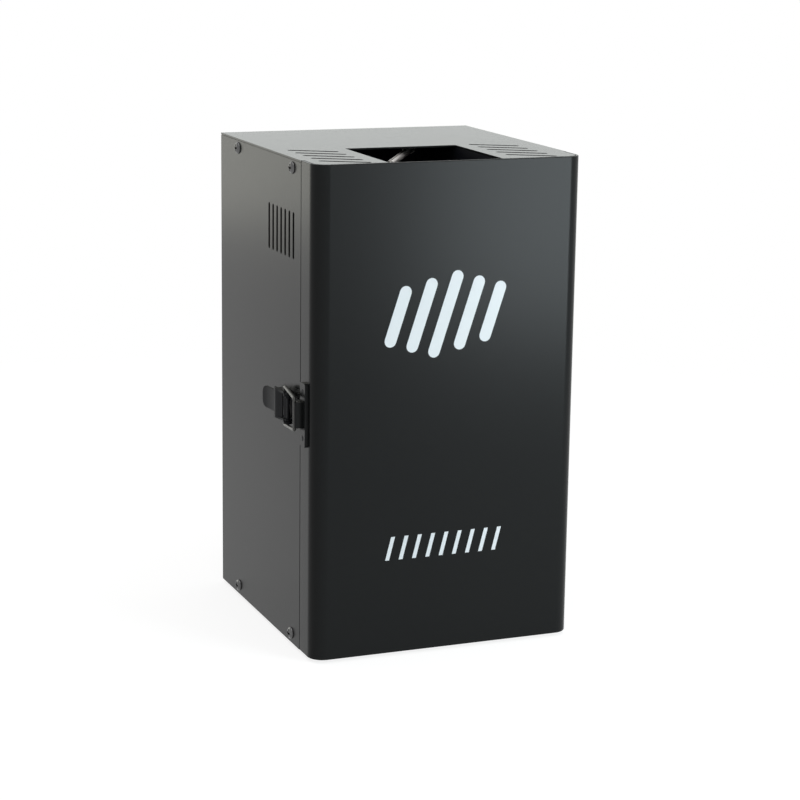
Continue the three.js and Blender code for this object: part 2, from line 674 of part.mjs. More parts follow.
function latchPin() {
  const head = LATCH_PIN_DIAMETER / 2 + 1;
  const shaft = LATCH_PIN_DIAMETER / 2;
  const half = LEVER_HEIGHT / 2 + FIT / 2;
  const end = half + LATCH_PIN_HEAD;
  const profile = [[0, -end], [head, -end], [head, -half], [shaft, -half], [shaft, half], [head, half],
    [head, end], [0, end]];
  return turned('z', PIVOT_X, LATCH_PIVOT_Y, LATCH_Z, profile, 12);
}
add('latch_pin', latchPin(), brightSteel);

// Keeper on the door: a plate with a step that the bail lies over and a lip in front of it
const KEEPER_FRONT = FRONT + CORNER_RADIUS;
const LIP_FRONT = KEEPER_FRONT + KEEPER_LIP_SETBACK;

function doorKeeper() {
  const half = KEEPER_HOOK_HEIGHT / 2;
  const low = LATCH_Z - half;
  const high = LATCH_Z + half;
  const lipRound = KEEPER_LIP / 2;
  const strip = block(LEFT - KEEPER_THICKNESS, LEFT, KEEPER_FRONT, KEEPER_FRONT + KEEPER_WIDTH,
    LATCH_Z - KEEPER_LENGTH / 2, LATCH_Z + KEEPER_LENGTH / 2);
  const step = block(LEFT - KEEPER_STEP, LEFT, LIP_FRONT, LIP_FRONT + KEEPER_STEP_LENGTH, low, high);
  const lipX = LEFT - KEEPER_HOOK_OUT + lipRound;
  const lip = block(lipX, LEFT, LIP_FRONT, LIP_FRONT + KEEPER_LIP, low, high);
  const roll = bar('z', lipX, LIP_FRONT + lipRound, low, KEEPER_LIP, KEEPER_HOOK_HEIGHT, 16);
  return join(strip, step, lip, roll);
}
add('door_keeper', doorKeeper(), blackSteel);

function latchBail() {
  const barX = LEFT - KEEPER_STEP - BAIL_WIRE / 2 - 2 * FIT;
  const barY = LIP_FRONT + KEEPER_LIP + BAIL_WIRE / 2 + FIT;
  const pegEnd = LEVER_HEIGHT / 2 - LATCH_SHEET - FIT;
  const point = (x, y, height) => new THREE.Vector3(x, y, LATCH_Z + height);
  return wire([
    point(BAIL_X, BAIL_Y, pegEnd), point(BAIL_X, BAIL_Y, BAIL_REAR_HALF),
    point(barX, barY, BAIL_FRONT_HALF), point(barX, barY, -BAIL_FRONT_HALF),
    point(BAIL_X, BAIL_Y, -BAIL_REAR_HALF), point(BAIL_X, BAIL_Y, -pegEnd),
  ], BAIL_WIRE);
}
add('latch_bail', latchBail(), brightSteel);

// Everything that carries gas stands on one upright axis under the flame opening
const AXIS_X = OPENING_CENTRE_X;
const AXIS_Y = OPENING_MIDDLE_Y;
const FLOOR_TOP = SHEET + FIT;
const DECK_TOP = DECK_HEIGHT + SHEET;

// Deck that carries the burner box, held by the partition and the two guide rods
function burnerDeck() {
  const outline = trayOutline(FLANGE_HALF, BURNER_REAR_Y + 2 * SHEET);
  outline.holes.push(circle(AXIS_X, AXIS_Y, RISER_DIAMETER + 2 * FIT));
  return plate('z', DECK_HEIGHT, SHEET, outline, 5);
}
add('burner_deck', burnerDeck(), zinc);

// Burner box: four walls from the deck to the underside of the top panel
const ELECTRODE_Z = TOP - ELECTRODE_BELOW_TOP;

function burnerBox() {
  const low = DECK_TOP + FIT;
  const rear = BURNER_REAR_Y + SHEET;
  const outer = block(OPENING_LEFT - SHEET, OPENING_RIGHT + SHEET, INNER_FRONT, rear, low, ROOF);
  const inner = block(OPENING_LEFT, OPENING_RIGHT, INNER_FRONT + SHEET, BURNER_REAR_Y, low - 1, ROOF + 1);
  const holeWidth = INSULATOR_DIAMETER + 2 * FIT;
  const hole = bar('y', ELECTRODE_X, BURNER_REAR_Y - SHEET, ELECTRODE_Z, holeWidth, 3 * SHEET);
  return cut(outer, inner, hole);
}
add('burner_box', burnerBox(), darkPaint);

// Gas riser and nozzle
const RISER_TOP = DECK_TOP + RISER_HEIGHT;
const VALVE_TOP = DECK_HEIGHT - FIT;
const VALVE_BOTTOM = VALVE_TOP - VALVE_HEIGHT;

function gasRiser() {
  const inner = RISER_BORE / 2;
  const outer = RISER_DIAMETER / 2;
  const low = VALVE_TOP - RISER_SEAT + FIT;
  const profile = [[inner, low], [outer, low], [outer, RISER_TOP], [inner, RISER_TOP], [inner, low]];
  return turned('z', AXIS_X, AXIS_Y, 0, profile, 16);
}
add('gas_riser', gasRiser(), brass);

function burnerNozzle() {
  const bore = NOZZLE_BORE / 2;
  const body = NOZZLE_DIAMETER / 2;
  const socket = RISER_DIAMETER / 2 + FIT;
  const low = RISER_TOP - RISER_SEAT;
  const high = low + NOZZLE_HEIGHT;
  const waist = low + NOZZLE_HEIGHT / 2;
  const profile = [[socket, low], [body, low], [body, waist], [body * 0.7, waist + 2], [body * 0.45, high],
    [bore, high], [bore, RISER_TOP + FIT], [socket, RISER_TOP + FIT], [socket, low]];
  return turned('z', AXIS_X, AXIS_Y, 0, profile, 24);
}
add('burner_nozzle', burnerNozzle(), brass);

// Spark electrode: through an insulator in the rear wall, then slanting forwards over the nozzle
const INSULATOR_FRONT = BURNER_REAR_Y - INSULATOR_INSIDE;
const ELECTRODE_END = INSULATOR_FRONT + INSULATOR_LENGTH + ELECTRODE_TAIL;
const BEND_Y = BURNER_REAR_Y - ELECTRODE_STRAIGHT;
const TIP_X = ELECTRODE_X - ELECTRODE_REACH * Math.sin(ELECTRODE_TURN * DEGREE);
const TIP_Y = BEND_Y - ELECTRODE_REACH * Math.cos(ELECTRODE_TURN * DEGREE);

function sparkElectrode() {
  return wire([
    new THREE.Vector3(ELECTRODE_X, ELECTRODE_END, ELECTRODE_Z),
    new THREE.Vector3(ELECTRODE_X, BEND_Y, ELECTRODE_Z),
    new THREE.Vector3(TIP_X, TIP_Y, ELECTRODE_Z),
  ], ELECTRODE_DIAMETER, 12);
}
add('spark_electrode', sparkElectrode(), brightSteel);

function sparkInsulator() {
  const bore = ELECTRODE_DIAMETER / 2 + FIT;
  const tube = INSULATOR_DIAMETER / 2;
  const collar = INSULATOR_COLLAR_DIAMETER / 2;
  const wall = BURNER_REAR_Y + SHEET + FIT;
  const end = INSULATOR_FRONT + INSULATOR_LENGTH;
  const profile = [[bore, INSULATOR_FRONT], [tube, INSULATOR_FRONT], [tube, wall], [collar, wall],
    [collar, wall + INSULATOR_COLLAR], [tube, wall + INSULATOR_COLLAR], [tube, end], [bore, end],
    [bore, INSULATOR_FRONT]];
  return turned('y', ELECTRODE_X, 0, ELECTRODE_Z, profile, 16);
}
add('spark_insulator', sparkInsulator(), ceramic);

// Ground electrode: a pin on the deck that ends one spark gap below the tip of the spark electrode
function groundElectrode() {
  const foot = GROUND_FOOT_DIAMETER / 2;
  const pin = GROUND_DIAMETER / 2;
  const low = DECK_TOP + FIT;
  const high = ELECTRODE_Z - ELECTRODE_DIAMETER / 2 - SPARK_GAP;
  const profile = [[0, low], [foot, low], [foot, low + GROUND_FOOT_HEIGHT], [pin, low + GROUND_FOOT_HEIGHT],
    [pin, high - pin], [0, high]];
  return turned('z', TIP_X, TIP_Y, 0, profile, 12);
}
add('ground_electrode', groundElectrode(), brightSteel);

// Valve block under the deck, with its solenoid coil behind it
function valveBlock() {
  const half = VALVE_WIDTH / 2;
  const body = block(AXIS_X - half, AXIS_X + half, AXIS_Y - half, AXIS_Y + half, VALVE_BOTTOM, VALVE_TOP);
  const riserWidth = RISER_DIAMETER + 2 * FIT;
  const stemWidth = STEM_DIAMETER + 2 * FIT;
  const riserHole = bar('z', AXIS_X, AXIS_Y, VALVE_TOP - RISER_SEAT, riserWidth, RISER_SEAT + 1);
  const stemHole = bar('z', AXIS_X, AXIS_Y, VALVE_BOTTOM - 1, stemWidth, STEM_ENGAGED + 1 + FIT, 16);
  const passage = bar('z', AXIS_X, AXIS_Y, VALVE_BOTTOM, VALVE_PASSAGE, VALVE_HEIGHT, 12);
  return cut(body, riserHole, stemHole, passage);
}
add('valve_block', valveBlock(), brass);

function valveCoil() {
  const coil = COIL_DIAMETER / 2;
  const neck = coil * 0.6;
  const profile = [[0, 0], [neck, 0], [neck, COIL_NECK], [coil, COIL_NECK], [coil, COIL_LENGTH - COIL_NECK],
    [neck, COIL_LENGTH - COIL_NECK], [neck, COIL_LENGTH], [0, COIL_LENGTH]];
  const middle = (VALVE_TOP + VALVE_BOTTOM) / 2;
  return turned('y', AXIS_X, AXIS_Y + VALVE_WIDTH / 2 + FIT, middle, profile, 20);
}
add('valve_coil', valveCoil(), blackPlastic);

// Gas canister: its stem stands in the valve block while the seat is up
const SHOULDER_Z = VALVE_BOTTOM + STEM_ENGAGED - STEM_LENGTH - CANISTER_CUP - CANISTER_SHOULDER;

function gasCanister() {
  const wall = CANISTER_DIAMETER / 2;
  const cup = CANISTER_CUP_DIAMETER / 2;
  const stem = STEM_DIAMETER / 2;
  const edgeZ = CANISTER_BASE + CANISTER_EDGE;
  const neck = SHOULDER_Z + CANISTER_SHOULDER;
  const cupTop = neck + CANISTER_CUP;
  const stemTop = cupTop + STEM_LENGTH;
  const outside = [[0, CANISTER_BASE], [wall - CANISTER_EDGE, CANISTER_BASE], [wall, edgeZ],
    [wall, SHOULDER_Z], [(wall * 3 + cup) / 4, (SHOULDER_Z + neck) / 2], [cup, neck], [cup, cupTop],
    [stem, cupTop], [stem, stemTop]];
  const inside = [[stem / 2, stemTop], [stem / 2, neck], [wall - CANISTER_WALL, SHOULDER_Z - CANISTER_WALL],
    [wall - CANISTER_WALL, edgeZ], [0, edgeZ]];
  return turned('z', AXIS_X, AXIS_Y, 0, [...outside, ...inside], 32);
}
add('gas_canister', gasCanister(), whitePaint);

// Canister seat: a cup with two bosses that slide on the guide rods
const SEAT_TOP = CANISTER_BASE - FIT;
const SEAT_BOTTOM = SEAT_TOP - SEAT_PLATE;

function canisterSeat() {
  const inner = CANISTER_DIAMETER / 2 + SEAT_CLEARANCE;
  const outer = inner + SEAT_RIM;
  const rimTop = SEAT_TOP + SEAT_RIM_HEIGHT;
  const cup = turned('z', AXIS_X, AXIS_Y, 0, [[0, SEAT_BOTTOM], [outer, SEAT_BOTTOM], [outer, rimTop],
    [inner, rimTop], [inner, SEAT_TOP], [0, SEAT_TOP]], 32);
  const spaceForCan = bar('z', AXIS_X, AXIS_Y, SEAT_TOP, 2 * inner, SEAT_RIM_HEIGHT + 1, 32);
  const halfArm = SEAT_ARM_WIDTH / 2;
  const arms = block(AXIS_X - GUIDE_SPREAD, AXIS_X + GUIDE_SPREAD, AXIS_Y - halfArm, AXIS_Y + halfArm,
    SEAT_BOTTOM, SEAT_TOP);
  let body = join(cut(arms, spaceForCan), cup);
  [-GUIDE_SPREAD, GUIDE_SPREAD].forEach((offset) => {
    body = body.add(bar('z', AXIS_X + offset, AXIS_Y, SEAT_BOTTOM, SEAT_BOSS_DIAMETER, SEAT_BOSS_HEIGHT, 20));
    body = cut(body, bar('z', AXIS_X + offset, AXIS_Y, 0, GUIDE_DIAMETER + 2 * FIT, DECK_HEIGHT, 16));
  });
  return body;
}
add('canister_seat', canisterSeat(), zinc);

[['left', -1], ['right', 1]].forEach(([word, side]) => {
  const collar = GUIDE_COLLAR_DIAMETER / 2;
  const shaft = GUIDE_DIAMETER / 2;
  const high = DECK_HEIGHT - FIT;
  const profile = [[0, FLOOR_TOP], [collar, FLOOR_TOP], [collar, FLOOR_TOP + GUIDE_COLLAR_HEIGHT],
    [shaft, FLOOR_TOP + GUIDE_COLLAR_HEIGHT], [shaft, high - GUIDE_COLLAR_HEIGHT],
    [collar, high - GUIDE_COLLAR_HEIGHT], [collar, high], [0, high]];
  add(`${word}_guide_rod`, turned('z', AXIS_X + side * GUIDE_SPREAD, AXIS_Y, 0, profile, 16), brightSteel);
});

// Lift: a knurled wheel that climbs a fixed stud and carries the seat
const WHEEL_TOP = SEAT_BOTTOM - FIT;

function liftWheel() {
  const outline = new THREE.Shape();
  for (let i = 0; i < 2 * WHEEL_TEETH; i += 1) {
    const radius = WHEEL_DIAMETER / 2 - (i % 2) * WHEEL_TOOTH;
    const angle = i * Math.PI / WHEEL_TEETH;
    const x = AXIS_X + radius * Math.cos(angle);
    const y = AXIS_Y + radius * Math.sin(angle);
    if (i === 0) outline.moveTo(x, y);
    else outline.lineTo(x, y);
  }
  outline.closePath();
  const disc = plate('z', WHEEL_TOP - WHEEL_HEIGHT, WHEEL_HEIGHT, outline);
  const hubLow = WHEEL_TOP - WHEEL_HEIGHT - HUB_HEIGHT;
  const hub = bar('z', AXIS_X, AXIS_Y, hubLow, HUB_DIAMETER, HUB_HEIGHT + 1);
  const bore = bar('z', AXIS_X, AXIS_Y, hubLow - 1, STUD_DIAMETER + 2 * FIT, WHEEL_HEIGHT + HUB_HEIGHT + 2);
  return cut(join(disc, hub), bore);
}
add('lift_wheel', liftWheel(), zinc);

function liftStud() {
  const flange = STUD_FLANGE_DIAMETER / 2;
  const stud = STUD_DIAMETER / 2;
  const high = WHEEL_TOP - SEAT_TRAVEL - FIT;
  const profile = [[0, FLOOR_TOP], [flange, FLOOR_TOP], [flange, FLOOR_TOP + STUD_FLANGE_HEIGHT],
    [stud, FLOOR_TOP + STUD_FLANGE_HEIGHT], [stud, high - 1], [stud - 1, high], [0, high]];
  return turned('z', AXIS_X, AXIS_Y, 0, profile, 24);
}
add('lift_stud', liftStud(), brightSteel);

// Partition between the canister bay and the electronics, with a foot below and a flange under the deck
function partitionPanel() {
  const half = FLANGE_HALF - SHEET - FIT;
  const high = DECK_HEIGHT - FIT;
  const wall = block(-half, half, PARTITION_Y, PARTITION_Y + SHEET, FLOOR_TOP, high);
  const foot = block(-half, half, PARTITION_Y, PARTITION_Y + PARTITION_FOOT, FLOOR_TOP, FLOOR_TOP + SHEET);
  const flange = block(-half, half, PARTITION_Y, PARTITION_Y + PARTITION_FOOT, high - SHEET, high);
  return join(wall, foot, flange);
}
add('partition_panel', partitionPanel(), zinc);

// Ignition transformer on the back of the partition; its tower feeds the spark electrode by a lead
const TRANSFORMER_FRONT = PARTITION_Y + SHEET + FIT;
const TOWER_END = TRANSFORMER_FRONT + TRANSFORMER_DEPTH + TOWER_LENGTH;

function ignitionTransformer() {
  const x0 = TRANSFORMER_X - TRANSFORMER_WIDTH / 2;
  const z0 = TRANSFORMER_Z - TRANSFORMER_HEIGHT / 2;
  const body = block(x0, x0 + TRANSFORMER_WIDTH, TRANSFORMER_FRONT, TRANSFORMER_FRONT + TRANSFORMER_DEPTH,
    z0, z0 + TRANSFORMER_HEIGHT);
  const towerStart = TOWER_END - TOWER_LENGTH - 1;
  return join(body, bar('y', ELECTRODE_X, towerStart, TRANSFORMER_Z, TOWER_DIAMETER, TOWER_LENGTH + 1, 16));
}
add('ignition_transformer', ignitionTransformer(), blackPlastic);

function sparkLead() {
  const point = (y, z) => new THREE.Vector3(ELECTRODE_X, y, z);
  const low = TOWER_END + FIT;
  const high = ELECTRODE_END + FIT;
  const rise = ELECTRODE_Z - TRANSFORMER_Z;
  const route = new THREE.CatmullRomCurve3([
    point(low, TRANSFORMER_Z), point(low + 10, TRANSFORMER_Z), point(low + 22, TRANSFORMER_Z + rise * 0.08),
    point(low + 32, TRANSFORMER_Z + rise * 0.35), point(high + 14, TRANSFORMER_Z + rise * 0.75),
    point(high + 18, ELECTRODE_Z - rise * 0.1), point(high + 11, ELECTRODE_Z), point(high, ELECTRODE_Z),
  ]);
  const section = new THREE.Shape();
  section.absarc(0, 0, LEAD_DIAMETER / 2, 0, FULL_TURN);
  return toSolid(new THREE.ExtrudeGeometry(section, { steps: 24, curveSegments: 4, extrudePath: route }));
}
add('spark_lead', sparkLead(), redPlastic);

// Power supply on the floor of the rear bay
function powerSupply() {
  const x0 = RIGHT - SUPPLY_INSET - SUPPLY_WIDTH / 2;
  const y0 = (PARTITION_Y + PARTITION_FOOT + REAR_INSIDE - SUPPLY_DEPTH) / 2;
  const cage = block(x0, x0 + SUPPLY_WIDTH, y0, y0 + SUPPLY_DEPTH, FLOOR_TOP, FLOOR_TOP + SUPPLY_HEIGHT);
  const terminals = block(x0 - TERMINAL_WIDTH, x0 + 1, y0 + SHEET, y0 + SUPPLY_DEPTH - SHEET, FLOOR_TOP,
    FLOOR_TOP + TERMINAL_HEIGHT);
  return join(cage, terminals);
}
add('power_supply', powerSupply(), zinc);

// Control board on four standoffs behind the display
const BOARD_REAR = REAR_INSIDE - FIT - STANDOFF_LENGTH;
const BUTTON_INNER = REAR_INSIDE - FIT - BUTTON_FLANGE - BUTTON_STEM;
const buttonPlaces = Array.from(
  { length: BUTTON_COUNT },
  (_, i) => (i - (BUTTON_COUNT - 1) / 2) * BUTTON_PITCH,
);

function controlBoard() {
  const x0 = -BOARD_WIDTH / 2;
  const z0 = BOARD_Z - BOARD_HEIGHT / 2;
  const parts = [block(x0, -x0, BOARD_REAR - BOARD_THICKNESS, BOARD_REAR, z0, z0 + BOARD_HEIGHT)];
  [x0 + STANDOFF_INSET, -x0 - STANDOFF_INSET].forEach((x) => {
    [z0 + STANDOFF_INSET, z0 + BOARD_HEIGHT - STANDOFF_INSET].forEach((z) => {
      parts.push(bar('y', x, BOARD_REAR - 1, z, STANDOFF_DIAMETER, STANDOFF_LENGTH + 1, 10));
    });
  });
  const tact = TACT_WIDTH / 2;
  buttonPlaces.forEach((x) => {
    const reach = BUTTON_INNER - BUTTON_TRAVEL - FIT / 2;
    parts.push(block(x - tact, x + tact, BOARD_REAR - 1, reach, BUTTON_Z - tact, BUTTON_Z + tact));
  });
  const chip = CHIP_WIDTH / 2;
  const chipFront = BOARD_REAR - BOARD_THICKNESS - CHIP_DEPTH;
  parts.push(block(-chip, chip, chipFront, BOARD_REAR - 1, BOARD_Z, BOARD_Z + CHIP_HEIGHT));
  return join(...parts);
}
add('control_board', controlBoard(), greenBoard);

// Display window in the rear panel
function displayModule() {
  const halfX = DISPLAY_WIDTH / 2;
  const halfZ = DISPLAY_HEIGHT / 2;
  const body = block(-halfX, halfX, REAR_INSIDE - DISPLAY_DEPTH, BACK + 1, DISPLAY_Z - halfZ,
    DISPLAY_Z + halfZ);
  const frameX = halfX + DISPLAY_BEZEL;
  const frameZ = halfZ + DISPLAY_BEZEL;
  const frame = block(-frameX, frameX, BACK, BACK + DISPLAY_PROUD, DISPLAY_Z - frameZ, DISPLAY_Z + frameZ);
  const windowX = halfX - DISPLAY_BEZEL;
  const windowZ = halfZ - DISPLAY_BEZEL;
  const recess = block(-windowX, windowX, BACK + DISPLAY_PROUD / 2, BACK + 2 * DISPLAY_PROUD,
    DISPLAY_Z - windowZ, DISPLAY_Z + windowZ);
  return cut(join(body, frame), recess);
}
add('display_module', displayModule(), darkGlass);

// Menu buttons: caps that stand through the rear panel and press the switches on the board
buttonPlaces.forEach((x, i) => {
  const cap = BUTTON_DIAMETER / 2;
  const flange = BUTTON_FLANGE_DIAMETER / 2;
  const stem = BUTTON_STEM_DIAMETER / 2;
  const flangeStart = BUTTON_INNER + BUTTON_STEM;
  const flangeEnd = flangeStart + BUTTON_FLANGE;
  const profile = [[0, BUTTON_INNER], [stem, BUTTON_INNER], [stem, flangeStart], [flange, flangeStart],
    [flange, flangeEnd], [cap, flangeEnd], [cap, BACK + BUTTON_PROUD - 0.5], [cap - 0.5, BACK + BUTTON_PROUD],
    [0, BACK + BUTTON_PROUD]];
  add(`menu_button_${i + 1}`, turned('y', x, 0, BUTTON_Z, profile, 16), blackPlastic);
});

// Power inlet: a flanged body with a recess and three flat pins
function powerInlet() {
  const halfX = INLET_WIDTH / 2;
  const halfZ = INLET_HEIGHT / 2;
  const face = BACK + INLET_PROUD;
  const body = block(INLET_X - halfX, INLET_X + halfX, REAR_INSIDE - INLET_DEPTH, face,
    INLET_Z - halfZ, INLET_Z + halfZ);
  const flangeX = halfX + INLET_FLANGE;
  const flangeZ = halfZ + INLET_FLANGE;
  const flange = block(INLET_X - flangeX, INLET_X + flangeX, BACK, face, INLET_Z - flangeZ,
    INLET_Z + flangeZ);
  const recessX = halfX - INLET_WALL;
  const recessZ = halfZ - INLET_WALL;
  const floor = face - INLET_RECESS;
  const recess = block(INLET_X - recessX, INLET_X + recessX, floor, face + 1, INLET_Z - recessZ,
    INLET_Z + recessZ);
  const pins = [[-1, -0.4], [0, 0.4], [1, -0.4]].map(([place, lift]) => {
    const x = INLET_X + place * INLET_PIN_PITCH - INLET_PIN_WIDTH / 2;
    const z = INLET_Z + lift * INLET_PIN_HEIGHT - INLET_PIN_HEIGHT / 2;
    return block(x, x + INLET_PIN_WIDTH, floor - 1, floor + INLET_PIN_LENGTH, z, z + INLET_PIN_HEIGHT);
  });
  return join(cut(join(body, flange), recess), ...pins);
}
add('power_inlet', powerInlet(), blackPlastic);

// Power switch: a housing and a rocker that tips about a cross pin
const ROCKER_PIVOT_Y = BACK + SWITCH_PROUD - ROCKER_DEPTH;

function switchHousing() {
  const halfX = SWITCH_WIDTH / 2;
  const halfZ = SWITCH_HEIGHT / 2;
  const face = BACK + SWITCH_PROUD;
  const body = block(INLET_X - halfX, INLET_X + halfX, REAR_INSIDE - SWITCH_DEPTH, face,
    SWITCH_Z - halfZ, SWITCH_Z + halfZ);
  const rim = block(INLET_X - halfX - SWITCH_RIM, INLET_X + halfX + SWITCH_RIM, BACK, face,
    SWITCH_Z - halfZ - SWITCH_RIM, SWITCH_Z + halfZ + SWITCH_RIM);
  const hollowX = halfX - SWITCH_WALL;
  const hollowZ = halfZ - SWITCH_WALL;
  const hollow = block(INLET_X - hollowX, INLET_X + hollowX, ROCKER_PIVOT_Y - ROCKER_DEPTH, face + 1,
    SWITCH_Z - hollowZ, SWITCH_Z + hollowZ);
  return cut(join(body, rim), hollow);
}
add('power_switch_housing', switchHousing(), blackPlastic);

function switchRocker() {
  const face = ROCKER_DEPTH;
  const raised = ROCKER_DEPTH + SWITCH_PROUD;
  const tilt = -ROCKER_TILT * DEGREE;
  const corners = [[face - 1, 0], [raised, ROCKER_HALF], [-SWITCH_RIM, ROCKER_FOOT], [-SWITCH_RIM - 1, 0],
    [-SWITCH_RIM, -ROCKER_FOOT], [raised, -ROCKER_HALF]];
  const outline = new THREE.Shape(corners.map(([out, up]) => new THREE.Vector2(
    ROCKER_PIVOT_Y + out * Math.cos(tilt) - up * Math.sin(tilt),
    SWITCH_Z + out * Math.sin(tilt) + up * Math.cos(tilt),
  )));
  const half = SWITCH_WIDTH / 2 - SWITCH_WALL - FIT;
  return plate('x', INLET_X - half, 2 * half, outline);
}
add('power_switch_rocker', switchRocker(), redPlastic);

// Control signal sockets: pins in the one that takes the signal in, holes in the one that passes it on
function signalSocket(x, withPins) {
  const face = BACK + DMX_FLANGE;
  const halfX = DMX_FLANGE_WIDTH / 2;
  const halfZ = DMX_FLANGE_HEIGHT / 2;
  const flange = block(x - halfX, x + halfX, BACK, face, DMX_Z - halfZ, DMX_Z + halfZ);
  const barrel = bar('y', x, REAR_INSIDE - DMX_DEPTH, DMX_Z, DMX_BARREL_DIAMETER, DMX_DEPTH + SHEET + 1, 24);
  const socket = bar('y', x, face - DMX_SOCKET_DEPTH, DMX_Z, DMX_SOCKET_DIAMETER, DMX_SOCKET_DEPTH + 1, 24);
  const contacts = Array.from({ length: DMX_PINS }, (_, i) => {
    const angle = (i / DMX_PINS) * FULL_TURN - QUARTER_TURN;
    return [x + DMX_PIN_CIRCLE / 2 * Math.cos(angle), DMX_Z + DMX_PIN_CIRCLE / 2 * Math.sin(angle)];
  });
  const floor = face - DMX_SOCKET_DEPTH;
  if (withPins) {
    const pins = contacts.map(([px, pz]) => bar('y', px, floor - 1, pz, DMX_PIN_DIAMETER, DMX_HOLE_DEPTH, 8));
    return join(cut(join(flange, barrel), socket), ...pins);
  }
  const insert = bar('y', x, floor - 1, DMX_Z, DMX_INSERT_DIAMETER, DMX_HOLE_DEPTH + 1, 20);
  const holeDepth = DMX_SOCKET_DEPTH + 1;
  const holes = contacts.map(([px, pz]) => bar('y', px, floor, pz, DMX_PIN_DIAMETER, holeDepth, 8));
  return cut(join(cut(join(flange, barrel), socket), insert), ...holes);
}
add('dmx_in_socket', signalSocket(DMX_IN_X, true), zinc);
add('dmx_out_socket', signalSocket(DMX_OUT_X, false), zinc);

// Arming lock: housing, plug that turns in it, and the key in the plug
const LOCK_FACE = BACK + LOCK_PROUD;

function armingLock() {
  const barrel = LOCK_DIAMETER / 2;
  const flange = LOCK_FLANGE_DIAMETER / 2;
  const bore = PLUG_DIAMETER / 2 + FIT;
  const inner = REAR_INSIDE - LOCK_DEPTH;
  const floor = LOCK_FACE - PLUG_DEPTH - FIT;
  const profile = [[0, inner], [barrel, inner], [barrel, BACK], [flange, BACK], [flange, LOCK_FACE - 1],
    [flange - 1, LOCK_FACE], [bore, LOCK_FACE], [bore, floor], [0, floor]];
  return turned('y', LOCK_X, 0, LOCK_Z, profile, 24);
}
add('arming_lock', armingLock(), brightSteel);

function lockPlug() {
  const plug = bar('y', LOCK_X, LOCK_FACE - PLUG_DEPTH, LOCK_Z, PLUG_DIAMETER, PLUG_DEPTH, 20);
  const halfX = KEY_SLOT_WIDTH / 2;
  const halfZ = KEY_SLOT_HEIGHT / 2;
  return cut(plug, block(LOCK_X - halfX, LOCK_X + halfX, LOCK_FACE - KEY_BLADE_LENGTH - FIT, LOCK_FACE + 1,
    LOCK_Z - halfZ, LOCK_Z + halfZ));
}
add('lock_plug', lockPlug(), brightSteel);

function armingKey() {
  const halfX = KEY_SLOT_WIDTH / 2 - FIT;
  const halfZ = KEY_SLOT_HEIGHT / 2 - FIT;
  const bowRadius = KEY_BOW_DIAMETER / 2;
  const bowY = LOCK_FACE + bowRadius + FIT;
  const blade = block(LOCK_X - halfX, LOCK_X + halfX, LOCK_FACE - KEY_BLADE_LENGTH, bowY,
    LOCK_Z - halfZ, LOCK_Z + halfZ);
  const start = LOCK_X - KEY_BOW_THICKNESS / 2;
  const bow = bar('x', start, bowY, LOCK_Z, KEY_BOW_DIAMETER, KEY_BOW_THICKNESS, 24);
  const ringY = bowY + bowRadius / 2;
  const ring = bar('x', start - 1, ringY, LOCK_Z, KEY_RING_DIAMETER, KEY_BOW_THICKNESS + 2, 16);
  return cut(join(blade, bow), ring);
}
add('arming_key', armingKey(), brightSteel);

// Rear panel with an opening for each fitting
function rearPanel() {
  const outline = rectangle(-FLANGE_HALF, FLANGE_HALF, 0, ROOF);
  const opening = (x, z, width, height) => outline.holes.push(
    rectangle(x - width / 2 - FIT, x + width / 2 + FIT, z - height / 2 - FIT, z + height / 2 + FIT),
  );
  opening(0, DISPLAY_Z, DISPLAY_WIDTH, DISPLAY_HEIGHT);
  opening(INLET_X, INLET_Z, INLET_WIDTH, INLET_HEIGHT);
  opening(INLET_X, SWITCH_Z, SWITCH_WIDTH, SWITCH_HEIGHT);
  buttonPlaces.forEach((x) => outline.holes.push(circle(x, BUTTON_Z, BUTTON_DIAMETER + 2 * FIT)));
  [DMX_IN_X, DMX_OUT_X].forEach((x) => outline.holes.push(circle(x, DMX_Z, DMX_BARREL_DIAMETER + 2 * FIT)));
  outline.holes.push(circle(LOCK_X, LOCK_Z, LOCK_DIAMETER + 2 * FIT));
  return plate('y', REAR_INSIDE, SHEET, outline, 8);
}
add('rear_panel', rearPanel(), blackPaint);

// The origin is the middle of the machine's footprint, where the feet stand
const reach = new THREE.Box3().setFromObject(machine);
const middle = reach.getCenter(new THREE.Vector3());
machine.position.set(-middle.x, -middle.y, -reach.min.z);

export default machine;
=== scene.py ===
import math
import bpy
from mathutils import Matrix, Vector


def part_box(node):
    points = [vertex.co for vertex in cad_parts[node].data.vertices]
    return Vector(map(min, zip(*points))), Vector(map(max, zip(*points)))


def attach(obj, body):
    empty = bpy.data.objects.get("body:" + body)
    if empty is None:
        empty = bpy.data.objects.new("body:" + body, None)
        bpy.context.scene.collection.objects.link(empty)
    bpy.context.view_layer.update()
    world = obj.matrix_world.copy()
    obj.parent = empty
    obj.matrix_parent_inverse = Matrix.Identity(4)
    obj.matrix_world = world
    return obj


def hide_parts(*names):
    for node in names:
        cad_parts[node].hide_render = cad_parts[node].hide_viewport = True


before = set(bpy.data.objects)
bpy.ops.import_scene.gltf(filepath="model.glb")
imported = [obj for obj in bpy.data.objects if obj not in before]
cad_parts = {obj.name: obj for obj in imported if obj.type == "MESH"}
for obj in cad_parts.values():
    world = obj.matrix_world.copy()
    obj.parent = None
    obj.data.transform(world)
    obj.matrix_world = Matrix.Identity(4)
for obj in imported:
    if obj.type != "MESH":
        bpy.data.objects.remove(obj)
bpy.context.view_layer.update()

# Camera: it stands to the left of the door and a little above the lid, and looks slightly down.
# The lens is a long one, so the upright edges stay nearly parallel.
camera_data = bpy.data.cameras.new("camera")
camera_data.sensor_width = 36.0
camera_data.lens = 102.135
camera_data.clip_start = 0.05
camera = bpy.data.objects.new("camera", camera_data)
